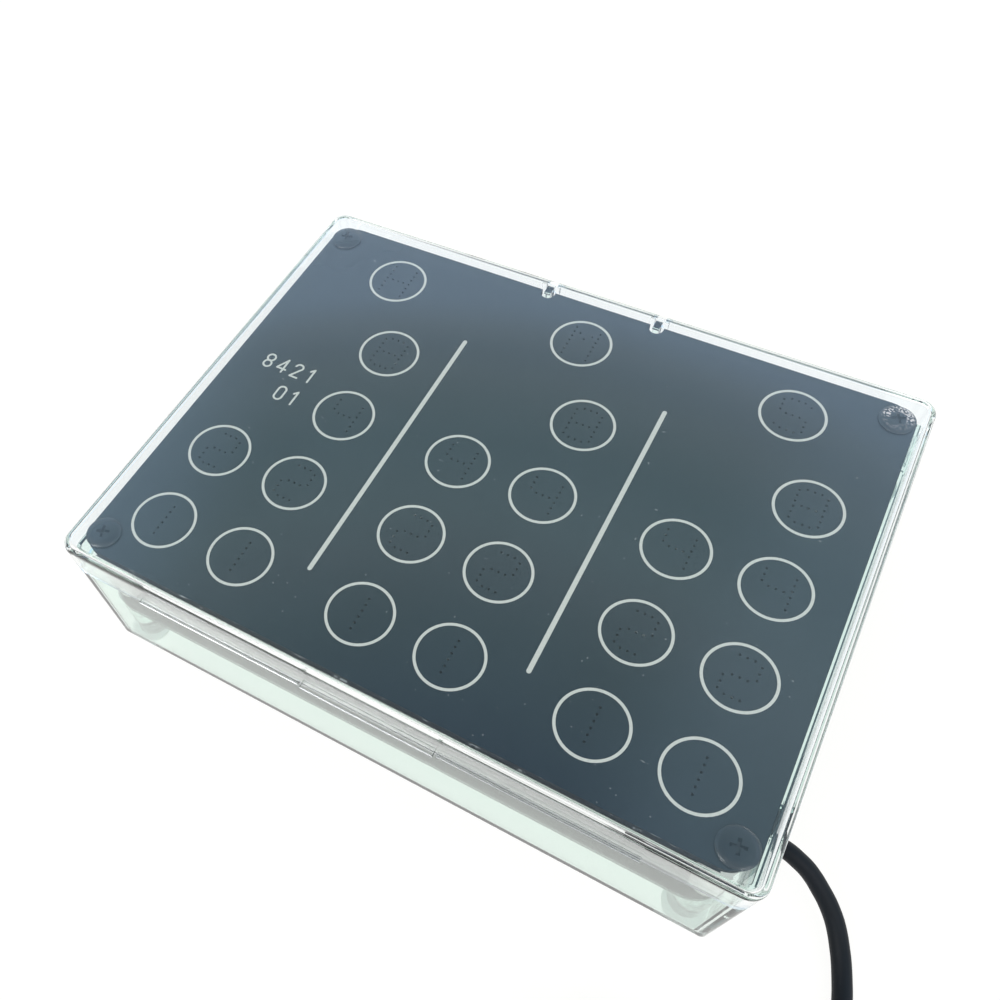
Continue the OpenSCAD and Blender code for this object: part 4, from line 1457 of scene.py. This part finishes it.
@dataclass
class LightBox:
    """Spacers, sheet, baffle, board and lamps."""

    board_top: float = 20.6
    lamp_half: float = 2.5
    lamp_h: float = 1.6
    lamp_soft: float = 0.12
    dish: tuple[tuple[float, float], ...] = ((1.5, 1.1), (2.0, 1.62), (2.05, 2.2))
    grid: RingGrid = field(default_factory=RingGrid)

    def build(self) -> None:
        """Dresses the CAD's pieces and makes the lamps."""
        dress(WHITE_NYLON, "spacers")
        dress(FROST, "diffuser_sheet")
        dress(BLACK_ABS, "light_baffle")
        dress(NICKEL, "baffle_screws")
        dress(BOARD, "led_board")
        maker = Repeater("lamp_tree", self._lamp(), LAMP_BODY)
        places = [(x * MM, y * MM, self.board_top * MM) for x, y, _ in self.grid.spots()]
        made = maker.lay("lamps", places, "case")
        maker.close()
        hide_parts("leds")

    def _lamp(self) -> bpy.types.Mesh:
        """A square lamp body with a dished, round window."""
        half = self.lamp_half
        block = box_mesh((-half, -half, 0), (half, half, self.lamp_h), self.lamp_soft)
        tools = [(turned(list(self.dish)), "DIFFERENCE")]
        return combined(mesh_from(block, "lamp_body"), tools, "lamp")


class Electronics:
    """What hangs under the board, the small parts of the case and the power lead's ends."""

    finishes: tuple[tuple[Finish, tuple[str, ...]], ...] = (
        (EPOXY, ("microcontroller", "led_drivers", "clock_chip", "regulator")),
        (NICKEL, ("crystal", "usb_plug_shell")),
        (BLACK_ABS, ("cell_holder", "tact_switches", "cable_grommet", "cable_tie")),
        (BLACK_ABS, ("hour_button", "minute_button")),
        (STEEL, ("coin_cell", "hinge_pins")),
        (RESISTOR, ("resistors",)),
        (ALUMINIUM, ("filter_capacitors",)),
        (IVORY, ("power_socket", "power_plug", "usb_plug_tongue")),
        (SHEATH, ("inner_lead", "usb_plug_body")),
        (FOOT, ("rubber_feet",)),
    )

    def build(self) -> None:
        """Dresses the CAD's pieces."""
        for finish, nodes in self.finishes:
            dress(finish, *nodes)


def dress(finish: Finish, *nodes: str) -> None:
    """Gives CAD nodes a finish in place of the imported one.

    Args:
        finish: what they are made of.
        nodes: their names.
    """
    for node in nodes:
        made = FRAME["nodes"][node]
        if not made.material_slots:
            made.data.materials.append(finish.material())
        for slot in made.material_slots:
            slot.link = "OBJECT"
            slot.material = finish.material()
        LOG.info("%s keeps its CAD shape, finish %s", node, finish.name)


FRAME: dict = {}


def main() -> None:
    """Builds the camera, the cable, the clock and the studio."""
    logging.basicConfig(level=logging.INFO, format="%(name)s: %(message)s")
    FRAME.update(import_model())
    Viewpoint().build()
    Cable().build()
    Lid().build()
    Tray().build()
    Panel().build()
    LightBox().build()
    Electronics().build()
    Studio().build()
    scene = bpy.context.scene
    scene.view_settings.view_transform = "Standard"
    scene.cycles.transparent_max_bounces = 32
    scene.cycles.max_bounces = 32
    scene.cycles.transmission_bounces = 32
    scene.cycles.glossy_bounces = 8


if __name__ == "__main__":
    main()
